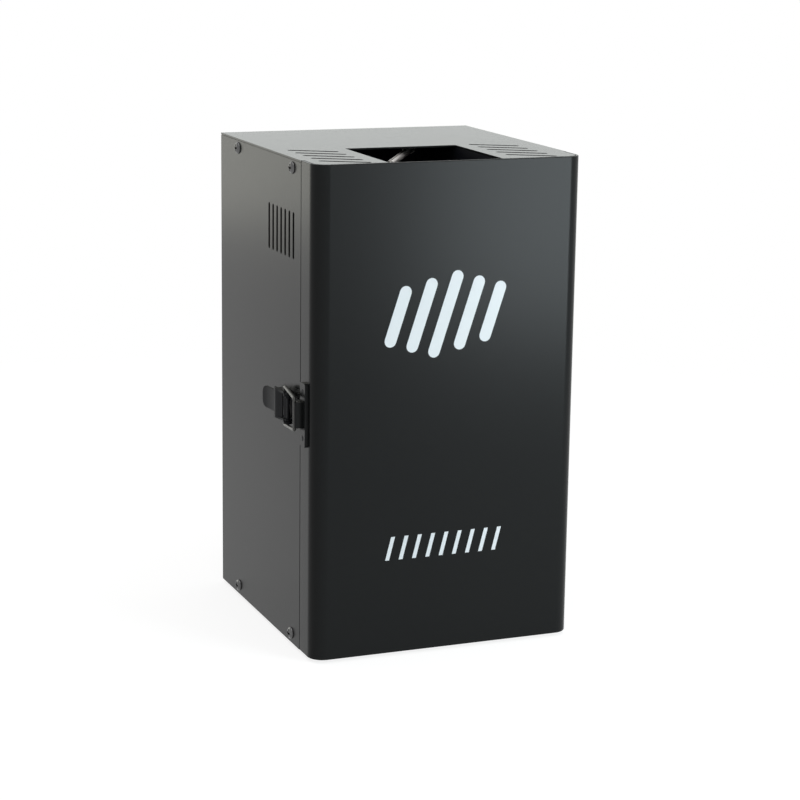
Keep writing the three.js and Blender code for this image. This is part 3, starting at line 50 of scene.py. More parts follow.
bpy.context.scene.collection.objects.link(camera)
camera_right = Vector((0.92812356, -0.37202381, 0.01359926))
camera_up = Vector((0.07068044, 0.21196393, 0.9747182))
camera_view = Vector((0.36550093, 0.90369772, -0.22302352))
camera_place = Vector((-0.70199, -1.76984, 0.61900))
camera.matrix_world = Matrix.Translation(camera_place) @ Matrix(
    (camera_right, camera_up, -camera_view)).transposed().to_4x4()
bpy.context.scene.camera = camera

# Studio: a wide pale floor and a pale surround, with soft lamps above, in front on the right, and
# behind on both sides. What the camera and the glossy surfaces see of the surround and the floor is
# white, and near the case the floor glows a little less, so that the case's shadow shows on it.
bpy.context.scene.view_settings.view_transform = 'Standard'
FLOOR_HALF, SURROUND_LIGHT, NEAR_GLOW, FAR_GLOW, NEAR_SHADE = 12.0, 0.38, 0.82, 1.0, 0.3
FADE_START, FADE_END = 0.45, 1.1


def tune(node, **values):
    """Sets inputs of a shader node by their names"""
    for name, value in values.items():
        node.inputs[name.replace("_", " ")].default_value = value
    return node


def add(tree, kind, **values):
    """A new shader node of some kind, with the inputs that are given"""
    return tune(tree.nodes.new("ShaderNode" + kind), **values)


def join(source, output, target, entry):
    """Links an output of one shader node to an input of another"""
    source.id_data.links.new(source.outputs[output], target.inputs[entry])


def white_when_seen(tree, plain, shown):
    """Mixes a plain shader with the one that camera, glossy and transmission rays are shown"""
    rays, mix = add(tree, "LightPath"), add(tree, "MixShader")
    glossy, seen = add(tree, "Math"), add(tree, "Math")
    glossy.operation = seen.operation = 'MAXIMUM'
    join(rays, "Is Camera Ray", glossy, 0)
    join(rays, "Is Glossy Ray", glossy, 1)
    join(glossy, 0, seen, 0)
    join(rays, "Is Transmission Ray", seen, 1)
    join(seen, 0, mix, 0)
    join(plain, 0, mix, 1)
    join(shown, 0, mix, 2)
    return mix


world = bpy.data.worlds.new("surround")
bpy.context.scene.world = world
world.use_nodes = True
tree = world.node_tree
ambient = tune(tree.nodes["Background"], Color=(1, 1, 1, 1), Strength=SURROUND_LIGHT)
white = add(tree, "Background", Color=(1, 1, 1, 1), Strength=1.0)
join(white_when_seen(tree, ambient, white), 0, tree.nodes["World Output"], "Surface")

bpy.ops.mesh.primitive_plane_add(size=2 * FLOOR_HALF, location=(0, 0, 0))
floor = bpy.context.object
floor.name = "studio_floor"
floor_paint = bpy.data.materials.new("studio_floor_paint")
floor_paint.use_nodes = True
tree = floor_paint.node_tree
matt = tune(tree.nodes["Principled BSDF"], Base_Color=(0.8, 0.8, 0.8, 1), Roughness=1.0,
            Specular_IOR_Level=0.0)
glow = add(tree, "Emission", Strength=NEAR_GLOW)
shade = add(tree, "BsdfDiffuse", Color=(NEAR_SHADE, NEAR_SHADE, NEAR_SHADE, 1))
near = add(tree, "AddShader")
join(glow, 0, near, 0)
join(shade, 0, near, 1)
far = add(tree, "Emission", Strength=FAR_GLOW)
reach = add(tree, "VectorMath")
reach.operation = 'LENGTH'
join(add(tree, "TexCoord"), "Object", reach, 0)
fade = add(tree, "MapRange", From_Min=FADE_START, From_Max=FADE_END)
join(reach, "Value", fade, "Value")
both = add(tree, "MixShader")
join(fade, "Result", both, 0)
join(near, 0, both, 1)
join(far, 0, both, 2)
join(white_when_seen(tree, matt, both), 0, tree.nodes["Material Output"], "Surface")
floor.data.materials.append(floor_paint)

for name, place, aim, size, power, tint in (
    ("overhead_lamp", (0.0, -0.4, 2.4), (0, 0, 0.2), 2.2, 20, (1, 1, 1)),
    ("front_right_lamp", (0.562, -0.946, 0.295), (0, 0, 0.25), 0.43, 7.4, (0.86, 0.96, 1)),
    ("left_lamp", (-0.85, 1.45, 0.53), (0, 0, 0.25), 0.9, 3.6, (1, 1, 0.86)),
    ("rear_lamp", (0.9, 2.6, 1.1), (0, 0, 0.35), 2.0, 7.8, (0.92, 1, 0.95)),
):
    lamp_data = bpy.data.lights.new(name, 'AREA')
    lamp_data.size = size
    lamp_data.energy = power
    lamp_data.color = tint
    lamp = bpy.data.objects.new(name, lamp_data)
    bpy.context.scene.collection.objects.link(lamp)
    lamp.visible_camera = False
    lamp.location = place
    lamp.rotation_euler = (Vector(aim) - Vector(place)).to_track_quat('-Z', 'Y').to_euler()

# Front door: one sheet of 2 mm steel, bent round both front corners from a flat blank and powder
# coated black. Both upright edges are rounded, then the sheet gets its wall. Its face stands back by
# the thickness of the prints on it.
HALF_WIDTH, FRONT, BACK, HEIGHT = 115.0, -120.0, 120.0, 402.0
panel_low, panel_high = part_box("left_side_panel")
CASE = Vector((panel_low[0] + HALF_WIDTH / 1000, panel_high[1] - BACK / 1000, panel_low[2]))
DOOR_REAR, DOOR_SHEET, DOOR_CORNER, PRINT = -88.0, 2.0, 13.0, 0.08


def at(x, y, z):
    """Millimetres from the middle of the case's floor, as a place in the frame"""
    return CASE + Vector((x, y, z)) / 1000


def only(piece):
    """Selects one piece and nothing else"""
    bpy.ops.object.select_all(action='DESELECT')
    piece.select_set(True)
    bpy.context.view_layer.objects.active = piece


def block(x0, x1, y0, y1, z0, z1):
    """A block of metal or plastic between two corners"""
    low, high = at(x0, y0, z0), at(x1, y1, z1)
    bpy.ops.mesh.primitive_cube_add(size=1, location=(low + high) / 2, scale=high - low)
    bpy.ops.object.transform_apply()
    return bpy.context.object


def edit(piece, kind, chosen):
    """Opens edit mode with the chosen faces, edges or points selected"""
    only(piece)
    bpy.ops.object.mode_set(mode='EDIT')
    bpy.ops.mesh.select_mode(type=kind)
    bpy.ops.mesh.select_all(action='DESELECT')
    bpy.ops.object.mode_set(mode='OBJECT')
    mesh = piece.data
    local = [(vertex.co - CASE) * 1000 for vertex in mesh.vertices]
    if kind == 'FACE':
        for face in mesh.polygons:
            middle = sum((local[i] for i in face.vertices), Vector()) / len(face.vertices)
            face.select = bool(chosen(middle, face.normal))
    elif kind == 'EDGE':
        for edge in mesh.edges:
            first, second = (local[i] for i in edge.vertices)
            edge.select = bool(chosen((first + second) / 2, (second - first).normalized()))
    else:
        for vertex in mesh.vertices:
            vertex.select = bool(chosen(local[vertex.index], vertex.normal))
    bpy.ops.object.mode_set(mode='EDIT')


def close():
    """Closes edit mode"""
    bpy.ops.object.mode_set(mode='OBJECT')


def round_edges(piece, chosen, radius, steps):
    """Rounds the chosen edges"""
    edit(piece, 'EDGE', chosen)
    bpy.ops.mesh.bevel(offset=radius / 1000, segments=steps, affect='EDGES')
    close()


def open_up(piece, chosen):
    """Takes the chosen faces away, so that the piece is open there"""
    edit(piece, 'FACE', chosen)
    bpy.ops.mesh.delete(type='FACE')
    close()


def apply(piece, kind, **settings):
    """Adds a modifier with its settings and applies it"""
    only(piece)
    modifier = piece.modifiers.new(kind.lower(), kind)
    for key, value in settings.items():
        setattr(modifier, key, value)
    bpy.ops.object.modifier_apply(modifier=modifier.name)


def soften(piece, width, segments=2, angle=50):
    """Breaks the sharp edges"""
    apply(piece, 'BEVEL', width=width / 1000, segments=segments, limit_method='ANGLE',
          angle_limit=math.radians(angle), harden_normals=False)


def grain(name, colour, other, roughness, metallic=0.0, scale=300.0, bump=0.05, stretch=(1, 1, 1),
          cloud=9.0, level=0.5, coat=0.0):
    """A finish with a slow change of tone, a fine grain in its roughness and a slight relief"""
    material = bpy.data.materials.new(name)
    material.use_nodes = True
    tree = material.node_tree
    shader = tune(tree.nodes["Principled BSDF"], Metallic=metallic, Specular_IOR_Level=level,
                  Coat_Weight=coat, Coat_Roughness=0.12)
    mapping = add(tree, "Mapping", Scale=stretch)
    join(add(tree, "TexCoord"), "Object", mapping, "Vector")
    slow = add(tree, "TexNoise", Scale=cloud, Detail=4.0)
    join(mapping, "Vector", slow, "Vector")
    fine = add(tree, "TexNoise", Scale=scale, Detail=3.0)
    join(mapping, "Vector", fine, "Vector")
    tone = add(tree, "Mix")
    tone.data_type = 'RGBA'
    tune(tone, A=(*colour, 1), B=(*other, 1))
    join(slow, "Fac", tone, "Factor")
    join(tone, "Result", shader, "Base Color")
    gloss = add(tree, "MapRange", From_Min=0.3, From_Max=0.7, To_Min=roughness[0], To_Max=roughness[1])
    join(fine, "Fac", gloss, "Value")
    join(gloss, "Result", shader, "Roughness")
    relief = add(tree, "Bump", Strength=bump, Distance=0.0004)
    join(fine, "Fac", relief, "Height")
    join(relief, "Normal", shader, "Normal")
    return material


def finish(piece, name, body, slot, look, *nodes, smooth=35):
    """Names a piece, gives it its finish, ties it to its body, and hides the frame's parts for the nodes it
    stands for
    """
    piece.name = name
    piece.data.name = name
    piece.data.materials.clear()
    piece.data.materials.append(look)
    only(piece)
    bpy.ops.object.shade_smooth_by_angle(angle=math.radians(smooth))
    apply(piece, 'WEIGHTED_NORMAL', weight=100, keep_sharp=True)
    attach(piece, body)
    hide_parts(*nodes)


powder_coat = grain("black_powder_coat", (0.0075, 0.0082, 0.0085), (0.0110, 0.0118, 0.0118),
                    (0.235, 0.265), scale=500, bump=0.004, cloud=5, level=0.10)

door = block(-HALF_WIDTH, HALF_WIDTH, FRONT + PRINT, DOOR_REAR, 0, HEIGHT)
round_edges(door, lambda middle, way: middle.y < FRONT + 1 and abs(way.z) > 0.9, DOOR_CORNER, 12)
open_up(door, lambda middle, normal: normal.y > 0.9 or abs(normal.z) > 0.9)
apply(door, 'SOLIDIFY', thickness=DOOR_SHEET / 1000, offset=-1, use_even_offset=True)
soften(door, 0.7, 3)
finish(door, "door_sheet", "door", "case_paint", powder_coat, "front_door")

# Side panels: two flat sheets of the same coated steel with seven upright vent slots each.
# The slots are punched, and the screws pass through clearance holes near the corners.
SIDE_FRONT, ROOF, PANEL, SCREW_HOLE = -87.4, 400.2, 1.5, 5.8
SCREW_PLACES = [(y, z) for z in (8.0, 394.0) for y in (-67.0, 72.0)]
SIDE_SLOT_LENGTH, SIDE_SLOT_WIDTH, SIDE_SLOT_Z = 38, 4, 340


def carve(piece, *cutters):
    """Takes the cutters out of the piece"""
    for cutter in cutters:
        apply(piece, 'BOOLEAN', operation='DIFFERENCE', solver='EXACT', object=cutter)
        bpy.data.objects.remove(cutter)


def unite(piece, *others):
    """Welds the others to the piece"""
    for other in others:
        apply(piece, 'BOOLEAN', operation='UNION', solver='EXACT', object=other)
        bpy.data.objects.remove(other)
    return piece


def gather(pieces):
    """Makes one object of several that don't touch"""
    only(pieces[0])
    for piece in pieces:
        piece.select_set(True)
    bpy.ops.object.join()
    return bpy.context.object


def rod(axis, x, y, z, diameter, length, sides=32):
    """A round bar from a start point along an axis"""
    way = Vector((axis == 'x', axis == 'y', axis == 'z'))
    turn = {'x': (0, math.pi / 2, 0), 'y': (math.pi / 2, 0, 0), 'z': (0, 0, 0)}[axis]
    bpy.ops.mesh.primitive_cylinder_add(
        vertices=sides, radius=diameter / 2000, depth=length / 1000, rotation=turn,
        location=at(x, y, z) + way * length / 2000)
    bpy.ops.object.transform_apply()
    return bpy.context.object


def slot_cutter(axis, middle, length, width, depth, degrees):
    """A long hole with round ends: a block with its four end corners rounded, turned to its slant"""
    size = {'x': (depth, width, length), 'z': (length, width, depth)}[axis]
    bpy.ops.mesh.primitive_cube_add(size=1, location=at(*middle), scale=Vector(size) / 1000)
    bpy.ops.object.transform_apply(location=False, rotation=False)
    cutter = bpy.context.object
    across = 'xyz'.index(axis)
    round_edges(cutter, lambda middle, way: abs(way[across]) > 0.9, width / 2 - 0.001, 6)
    cutter.rotation_euler = (0, 0, math.radians(degrees))
    bpy.ops.object.transform_apply()
    return cutter


for word, side in (("left", -1), ("right", 1)):
    inner, outer = sorted((side * HALF_WIDTH, side * (HALF_WIDTH - PANEL)))
    panel = block(inner, outer, SIDE_FRONT, BACK, 0, ROOF)
    middle = side * (HALF_WIDTH - PANEL / 2)
    slots = [slot_cutter('x', (middle, y, SIDE_SLOT_Z), SIDE_SLOT_LENGTH, SIDE_SLOT_WIDTH, 10, 0)
             for y in range(-70, 0, 10)]
    holes = [rod('x', middle - 5, y, z, SCREW_HOLE, 10, 20) for y, z in SCREW_PLACES]
    carve(panel, gather(slots + holes))
    soften(panel, 0.35, 2, 40)
    finish(panel, word + "_side_sheet", "case", "case_paint", powder_coat, word + "_side_panel")

# Lid: a folded sheet of coated steel that closes the case from above.
# It has flanges inside the side panels, a mouth for the flame that runs to its front edge, and two
# groups of slanted slots.
MOUTH_LEFT, MOUTH_RIGHT, MOUTH_REAR = -53.5, 44.5, -21.0
BURNER = (-4.5, -69.2)
NOSE, NOSE_HALF, NOSE_CORNER = -117.4, 112.4, 10.4
FLANGE_FOOT, FLANGE_TOP, FLANGE_BACK = 378, HEIGHT - 0.7, 118.2
LID_SLOT_LENGTH, LID_SLOT_WIDTH, LID_SLOT_PITCH, LID_SLOT_LEAN = 42, 5, 18.5, -30

lid = block(-HALF_WIDTH, HALF_WIDTH, SIDE_FRONT, BACK, HEIGHT - PANEL, HEIGHT)
nose = block(-NOSE_HALF, NOSE_HALF, NOSE, SIDE_FRONT + 5, HEIGHT - PANEL, HEIGHT)
round_edges(nose, lambda middle, way: middle.y < NOSE + 0.4 and abs(way.z) > 0.9, NOSE_CORNER, 10)
flanges = [block(middle - PANEL / 2, middle + PANEL / 2, SIDE_FRONT + 1.5, FLANGE_BACK, FLANGE_FOOT,
                 FLANGE_TOP) for middle in (-112.45, 112.45)]
flanges.append(block(-112, 112, FLANGE_BACK - PANEL, FLANGE_BACK, FLANGE_FOOT, FLANGE_TOP))
flanges += [block(x0, x1, NOSE, NOSE + PANEL, 390, FLANGE_TOP)
            for x0, x1 in ((-99.4, -55.3), (46.3, 99.4))]
unite(lid, nose, *flanges)
cutters = [slot_cutter('z', (BURNER[0] + aside, BURNER[1] + 2 + LID_SLOT_PITCH * place, 401),
                       LID_SLOT_LENGTH, LID_SLOT_WIDTH, 8, LID_SLOT_LEAN)
           for aside in (-80, 80) for place in range(-2, 3)]
cutters.append(block(MOUTH_LEFT, MOUTH_RIGHT, -130, MOUTH_REAR, 380, 410))
holes = [rod('x', -118, y, z, SCREW_HOLE, 236, 20) for y, z in SCREW_PLACES if z > 200]
carve(lid, gather(cutters), gather(holes))
soften(lid, 0.45, 3, 40)
finish(lid, "lid_sheet", "case", "case_paint", powder_coat, "top_panel")

# Prints on the door: white ink in two places, screened on, with five bold slanting bars of stepped
# length above and a row of nine slim ones below. The ink stands a hair proud of the coat.
BOLD_X, BOLD_Z, BOLD_PITCH, BOLD_LENGTH, BOLD_STEP = -3.5, 279.5, 20.5, 73, 11
BOLD_WIDTH, BOLD_LEAN = 10, 18
SLIM_START, SLIM_PITCH, SLIM_FOOT, SLIM_HEIGHT = -53, 11.7375, 79.0, 19.5
SLIM_WIDTH, SLIM_SHIFT = 3.4, 5


def drawn(places):
    """A line of edges through some places, left selected in edit mode"""
    bpy.ops.mesh.primitive_plane_add(size=0.001, location=places[0])
    bpy.ops.object.transform_apply()
    bpy.ops.object.mode_set(mode='EDIT')
    bpy.ops.mesh.select_mode(type='VERT')
    bpy.ops.mesh.merge(type='CENTER')
    for here, there in zip(places, places[1:]):
        bpy.ops.mesh.extrude_region_move(TRANSFORM_OT_translate={"value": there - here})
    bpy.ops.mesh.select_all(action='SELECT')


def settled():
    """The piece in edit mode, closed again with all its faces turned outward"""
    bpy.ops.mesh.select_all(action='SELECT')
    bpy.ops.mesh.normals_make_consistent(inside=False)
    close()
    return bpy.context.object


def cut_out(axis, outline, start, end):
    """A plate with an outline of points across an axis, from one place on that axis to another"""
    order = {'x': lambda a, b: (start, a, b), 'y': lambda a, b: (a, start, b),
             'z': lambda a, b: (a, b, start)}
    way = Vector((axis == 'x', axis == 'y', axis == 'z')) * (end - start) / 1000
    drawn([at(*order[axis](a, b)) for a, b in outline])
    bpy.ops.mesh.edge_face_add()
    bpy.ops.mesh.extrude_region_move(TRANSFORM_OT_translate={"value": way})
    return settled()


def round_bar(x, z, length, width, lean, steps=8):
    """The outline of a straight bar with round ends, which leans by degrees from upright"""
    along = Vector((math.sin(math.radians(lean)), math.cos(math.radians(lean))))
    across = Vector((along.y, -along.x))
    outline = []
    for end, way in ((1, along), (-1, -along)):
        middle = Vector((x, z)) + along * end * (length - width) / 2
        for i in range(steps + 1):
            angle = math.pi * i / steps
            out = across * end * math.cos(angle) + way * math.sin(angle)
            outline.append(tuple(middle + out * width / 2))
    return outline


white_ink = grain("white_screen_ink", (0.64, 0.68, 0.70), (0.67, 0.71, 0.73), (0.40, 0.50), scale=900,
                  bump=0.02, level=0.2)
bold = []
for place in range(-2, 3):
    bar = round_bar(BOLD_X + BOLD_PITCH * place, BOLD_Z, BOLD_LENGTH - BOLD_STEP * abs(place), BOLD_WIDTH,
                    BOLD_LEAN)
    bold.append(cut_out('y', bar, FRONT, FRONT + 2 * PRINT))
finish(gather(bold), "door_bold_bars", "door", "white_paint", white_ink)
slim = []
for place in range(9):
    foot = SLIM_START + SLIM_PITCH * place
    head = foot + SLIM_SHIFT
    bar = [(foot, SLIM_FOOT), (foot + SLIM_WIDTH, SLIM_FOOT), (head + SLIM_WIDTH, SLIM_FOOT + SLIM_HEIGHT),
           (head, SLIM_FOOT + SLIM_HEIGHT)]
    slim.append(cut_out('y', bar, FRONT, FRONT + 2 * PRINT))
finish(gather(slim), "door_slim_bars", "door", "white_paint", white_ink)

# Panel screws: domed M5 heads of plated steel with a cross recess, four to a side.
# One is turned and cut, and the others are copies of it, turned about for the right side.
HEAD, HEAD_RADIUS, SHANK_RADIUS = 2.8, 5, 2.5


def turned(axis, x, y, z, profile, sides=48):
    """A turned piece: a line of radius and height pairs, spun about an axis through a start point"""
    way = Vector((axis == 'x', axis == 'y', axis == 'z'))
    out = Vector((axis != 'x', axis == 'x', 0))
    start = at(x, y, z)
    drawn([start + (out * radius + way * height) / 1000 for radius, height in profile])
    bpy.ops.mesh.spin(steps=sides, angle=math.tau, center=start, axis=way)
    bpy.ops.mesh.select_all(action='SELECT')
    bpy.ops.mesh.remove_doubles(threshold=0.000002)
    bpy.ops.mesh.dissolve_degenerate(threshold=0.000001)
    return settled()


def dome(radius, height, steps=6):
    """Radius and depth pairs of a low dome, from its middle to its rim"""
    angles = [math.pi / 2 * i / steps for i in range(steps + 1)]
    return [(radius * math.sin(angle), height * (1 - math.cos(angle))) for angle in angles]


def copy(piece, shift=(0, 0, 0), half_turn=False):
    """A copy with its own mesh, moved by millimetres, or turned half about the case's upright axis"""
    only(piece)
    bpy.ops.object.duplicate()
    twin = bpy.context.object
    if half_turn:
        twin.matrix_world = (Matrix.Translation(CASE) @ Matrix.Rotation(math.pi, 4, 'Z')
                             @ Matrix.Translation(-CASE)) @ twin.matrix_world
    twin.location += Vector(shift) / 1000
    bpy.ops.object.transform_apply()
    return twin


screw_steel = grain("plated_screw_steel", (0.08, 0.08, 0.08), (0.14, 0.14, 0.14), (0.14, 0.24),
                    metallic=1.0, scale=1500, bump=0.05, cloud=80)

first_y, first_z = SCREW_PLACES[0]
head = turned('x', -HALF_WIDTH - HEAD, first_y, first_z,
              dome(HEAD_RADIUS, HEAD - 0.3) + [(HEAD_RADIUS, HEAD), (SHANK_RADIUS, HEAD),
                                               (SHANK_RADIUS, HEAD + 9), (0, HEAD + 9)], 40)
cross = [block(-118.5, -115.9, first_y - a, first_y + a, first_z - b, first_z + b)
         for a, b in ((0.8, 3.1), (3.1, 0.8))]
carve(head, unite(*cross))
soften(head, 0.12)
for number, (y, z) in enumerate(SCREW_PLACES, 1):
    # a half turn about the middle puts the right side's copy at the other end of the depth
    for word, shift, half_turn in (("left", y - first_y, False), ("right", y + first_y, True)):
        twin = copy(head, (0, shift, z - first_z), half_turn)
        finish(twin, f"{word}_screw_{number}", "case", "screw_steel", screw_steel,
               f"{word}_panel_screw_{number}")
bpy.data.objects.remove(head)

# Feet: four low rubber discs under the corners of the base.
# Each is moulded with a sunk middle for its screw, and a rounded rim.
FOOT_X, FOOT_Y, FOOT_RADIUS, FOOT_HEIGHT, FOOT_SINK = 85, 90, 11, 3, 1.2
foot_rubber = grain("foot_rubber", (0.012, 0.012, 0.012), (0.02, 0.02, 0.02), (0.75, 0.9), scale=700,
                    bump=0.3)
foot_line = [(0, -FOOT_SINK), (3.4, -FOOT_SINK), (3.6, -FOOT_HEIGHT), (10.2, -FOOT_HEIGHT), (10.8, -2.6),
             (FOOT_RADIUS, -2), (FOOT_RADIUS, 0), (0, 0)]
for depth, y in (("front", -FOOT_Y), ("rear", FOOT_Y)):
    for side, x in (("left", -FOOT_X), ("right", FOOT_X)):
        foot = turned('z', x, y, 0, foot_line)
        finish(foot, f"{depth}_{side}_pad", "case", "foot_rubber", foot_rubber, f"{depth}_{side}_foot")

# Door hinge: a long piano hinge of black steel on the right side, riveted to the panel and the door.
# Its knuckles alternate on a bright pin with a small head at each end.
HINGE_X, HINGE_Y, LEAF_SHEET = 118.5, -87.7, 1.2
HINGE_LOW, HINGE_LENGTH, HINGE_COUNT = 31.0, 340.0, 7
HINGE_STEP, KNUCKLE_GAP = HINGE_LENGTH / HINGE_COUNT, 0.5
black_steel = grain("black_plated_steel", (0.006, 0.0064, 0.008), (0.011, 0.0115, 0.0135), (0.26, 0.34),
                    scale=900, bump=0.02, cloud=40, level=0.055)
bright_steel = grain("polished_steel", (0.52, 0.52, 0.53), (0.68, 0.68, 0.69), (0.12, 0.26),
                     metallic=1.0, scale=600, bump=0.04, cloud=30, stretch=(1, 1, 0.08))


def low_head(radius, height, sunk, way=1):
    """The line of a low domed head, which stands out by its height and has its foot sunk in"""
    return [(out, way * (height - depth)) for out, depth in dome(radius, height, 4)] + [
        (radius, -way * sunk), (0, -way * sunk)]


for word, body, side, first in (("case", "case", 1, 0), ("door", "door", -1, 1)):
    near, far = HINGE_Y + side * 3.7, HINGE_Y + side * 14.7
    outside = HALF_WIDTH + LEAF_SHEET
    leaf = block(HALF_WIDTH, outside, *sorted((near, far)), HINGE_LOW, HINGE_LOW + HINGE_LENGTH)
    knuckles = []
    for place in range(first, HINGE_COUNT, 2):
        low = HINGE_LOW + place * HINGE_STEP + KNUCKLE_GAP / 2
        high = low + HINGE_STEP - KNUCKLE_GAP
        web = block(HALF_WIDTH, outside, *sorted((HINGE_Y + side * 0.6, near + side)), low, high)
        knuckles.append(unite(rod('z', HINGE_X, HINGE_Y, low, 6.4, high - low, 28), web))
    unite(leaf, gather(knuckles))
    rivets = [turned('x', outside, near + side * 6, HINGE_LOW + 20 + 50 * i, low_head(2.6, 0.9, 0.4), 20)
              for i in range(7)]
    carve(leaf, rod('z', HINGE_X, HINGE_Y, 0, 3.6, HEIGHT, 24))
    soften(leaf, 0.25)
    finish(leaf, word + "_hinge_sheet", body, "black_steel", black_steel, f"hinge_{word}_leaf")
    finish(gather(rivets), word + "_hinge_rivets", body, "screw_steel", screw_steel)

hinge_line = [(0, 0), (2.8, 0), (3.2, 0.4), (3.2, 1.5), (1.5, 1.5), (1.5, 341.5), (3.2, 341.5),
              (3.2, 342.6), (2.8, 343), (0, 343)]
hinge_rod = turned('z', HINGE_X, HINGE_Y, HINGE_LOW - 1.5, hinge_line, 24)
finish(hinge_rod, "hinge_rod", "case", "bright_steel", bright_steel, "hinge_pin")

# Latch base: a small plate of black plated steel, pressed with two upright ears for the pin.
# Two low rivets fix it to the left side panel.
LATCH_Z = 201.0
PIVOT_X, PIVOT_Y, PIVOT_HOLE = -121.0, -76.0, 3
BASE_HALF, BASE_SHEET, EAR = 10.2, 1.5, 5.6

base = block(-HALF_WIDTH - BASE_SHEET, -HALF_WIDTH, PIVOT_Y - 9, PIVOT_Y + 29, LATCH_Z - BASE_HALF,
             LATCH_Z + BASE_HALF)
ears = []
for low in (LATCH_Z - BASE_HALF, LATCH_Z + BASE_HALF - BASE_SHEET):
    ear = block(PIVOT_X, -HALF_WIDTH, PIVOT_Y - EAR / 2, PIVOT_Y + EAR / 2, low, low + BASE_SHEET)
    ears.append(unite(ear, rod('z', PIVOT_X, PIVOT_Y, low, EAR, BASE_SHEET, 28)))
unite(base, gather(ears))
carve(base, rod('z', PIVOT_X, PIVOT_Y, LATCH_Z - 15, PIVOT_HOLE, 30, 24))
soften(base, 0.25)
finish(base, "latch_base_plate", "case", "black_steel", black_steel, "latch_base")
rivets = [turned('x', -HALF_WIDTH - BASE_SHEET, PIVOT_Y + y, LATCH_Z, low_head(2.2, 0.8, 0.6, -1), 20)
          for y in (-6, 17)]
finish(gather(rivets), "latch_base_rivets", "case", "black_steel", black_steel)

# Latch lever: one pressed strip of black plated steel that rises from behind its pin to a ridge, steps
# down, and flares out into a rounded thumb tab. A cheek on each side carries the pin and the bail.
# Seen from above, each outline is drawn across the case and along it.
strip = cut_out('z', [(-119.6, -71.0), (-124.0, -56.0), (-124.7, -53.6), (-124.5, -51.8),
                      (-123.2, -50.4), (-122.5, -48.6), (-122.5, -45.0), (-121.1, -45.0),
                      (-121.0, -49.2), (-121.9, -51.2), (-123.1, -52.6), (-122.6, -55.4),
                      (-118.1, -70.6)], LATCH_Z - 12, LATCH_Z + 12)
cheeks = []
for low in (LATCH_Z - 12.1, LATCH_Z + 10.5):
    cheek = cut_out('z', [(-124.5, -53.6), (-122.8, -50.0), (-117.4, -50.0), (-117.1, PIVOT_Y),
                          (-124.9, PIVOT_Y), (-122.2, -67.0)], low, low + 1.6)
    cheeks.append(unite(cheek, rod('z', PIVOT_X, PIVOT_Y, low, 8.4, 1.6, 48)))
tab = cut_out('z', [(-122.5, -46.0), (-122.9, -38.0), (-123.7, -30.0), (-125.0, -23.0),
                    (-123.6, -22.7), (-122.4, -29.8), (-121.5, -38.0), (-121.1, -46.0)],
              LATCH_Z - 9, LATCH_Z + 9)
round_edges(tab, lambda middle, way: middle.y > -24 and abs(way.x) > 0.9, 6.2, 8)
lever = unite(strip, gather(cheeks), tab)
BAIL_X, BAIL_Y, BAIL_HOLE = PIVOT_X + 1, PIVOT_Y + 12, 3.6
carve(lever, rod('z', PIVOT_X, PIVOT_Y, LATCH_Z - 14, PIVOT_HOLE, 28, 24),
      rod('z', BAIL_X, BAIL_Y, LATCH_Z - 14, BAIL_HOLE, 28, 24))
soften(lever, 0.3, 3, 40)
finish(lever, "latch_lever_channel", "lever", "black_steel", black_steel, "latch_lever")

# Latch pin: a black steel rivet through the ears and the lever, closed by a head at each end.
# The lever swings on it.
PIN_LENGTH = 25.7
pin_line = [(0, 0), (1.8, 0), (2.2, 0.3), (2.2, 0.7), (1.2, 0.7), (1.2, 25), (2.2, 25), (2.2, 25.4),
            (1.8, PIN_LENGTH), (0, PIN_LENGTH)]
rivet = turned('z', PIVOT_X, PIVOT_Y, LATCH_Z - PIN_LENGTH / 2, pin_line, 24)
finish(rivet, "latch_pin_rivet", "case", "black_steel", black_steel, "latch_pin")

# Keeper: a coated steel plate riveted to the side of the door by its ends.
# It has a step in the middle for the bail to lie on, and a rolled lip that holds the bail.
KEEPER_FACE, KEEPER_HALF, CATCH_FRONT, CATCH_HALF = -118, 26, -102.1, 10.5
keeper = block(KEEPER_FACE, -HALF_WIDTH, -107, -95.5, LATCH_Z - KEEPER_HALF, LATCH_Z + KEEPER_HALF)
round_edges(keeper, lambda middle, way: abs(way.x) > 0.9, 2, 4)
step = block(-120.9, -115.2, CATCH_FRONT, -91.1, LATCH_Z - CATCH_HALF, LATCH_Z + CATCH_HALF)
lip = block(-124.6, -115.2, CATCH_FRONT, -98.5, LATCH_Z - CATCH_HALF, LATCH_Z + CATCH_HALF)
round_edges(lip, lambda middle, way: middle.x < -124 and abs(way.z) > 0.9, 1.78, 8)
unite(keeper, step, lip)
soften(keeper, 0.4, 3)
finish(keeper, "keeper_plate", "door", "black_steel", powder_coat, "door_keeper")
rivets = [turned('x', KEEPER_FACE, -101.3, LATCH_Z + z, low_head(2.6, 0.35, 0.6, -1), 20)
          for z in (-19, 19)]
finish(gather(rivets), "keeper_rivets", "door", "black_steel", black_steel)

# Bail: a loop of darkened 3 mm steel wire, bent to shape and hung in the lever by its two inturned
# ends. Its cross bar pulls on the keeper.
BAIL_WIRE, BAR_X, BAR_Y, BAR_HALF = 3, -123, -96.7, 12.9
BAIL_INNER, BAIL_OUTER = 10.2, 15.7


def rounded_path(corners, radius, steps=8):
    """The corners of a line, with each bend rounded off"""
    path = [corners[0]]
    for before, here, after in zip(corners, corners[1:], corners[2:]):
        back, ahead = (before - here).normalized(), (after - here).normalized()
        angle = back.angle(ahead)
        shorter = min((before - here).length, (after - here).length)
        reach = min(radius / math.tan(angle / 2), shorter * 0.49)
        for i in range(steps + 1):
            t = i / steps
            first, last = here + back * reach, here + ahead * reach
            path.append(first * (1 - t) ** 2 + here * 2 * t * (1 - t) + last * t ** 2)
    return path + [corners[-1]]


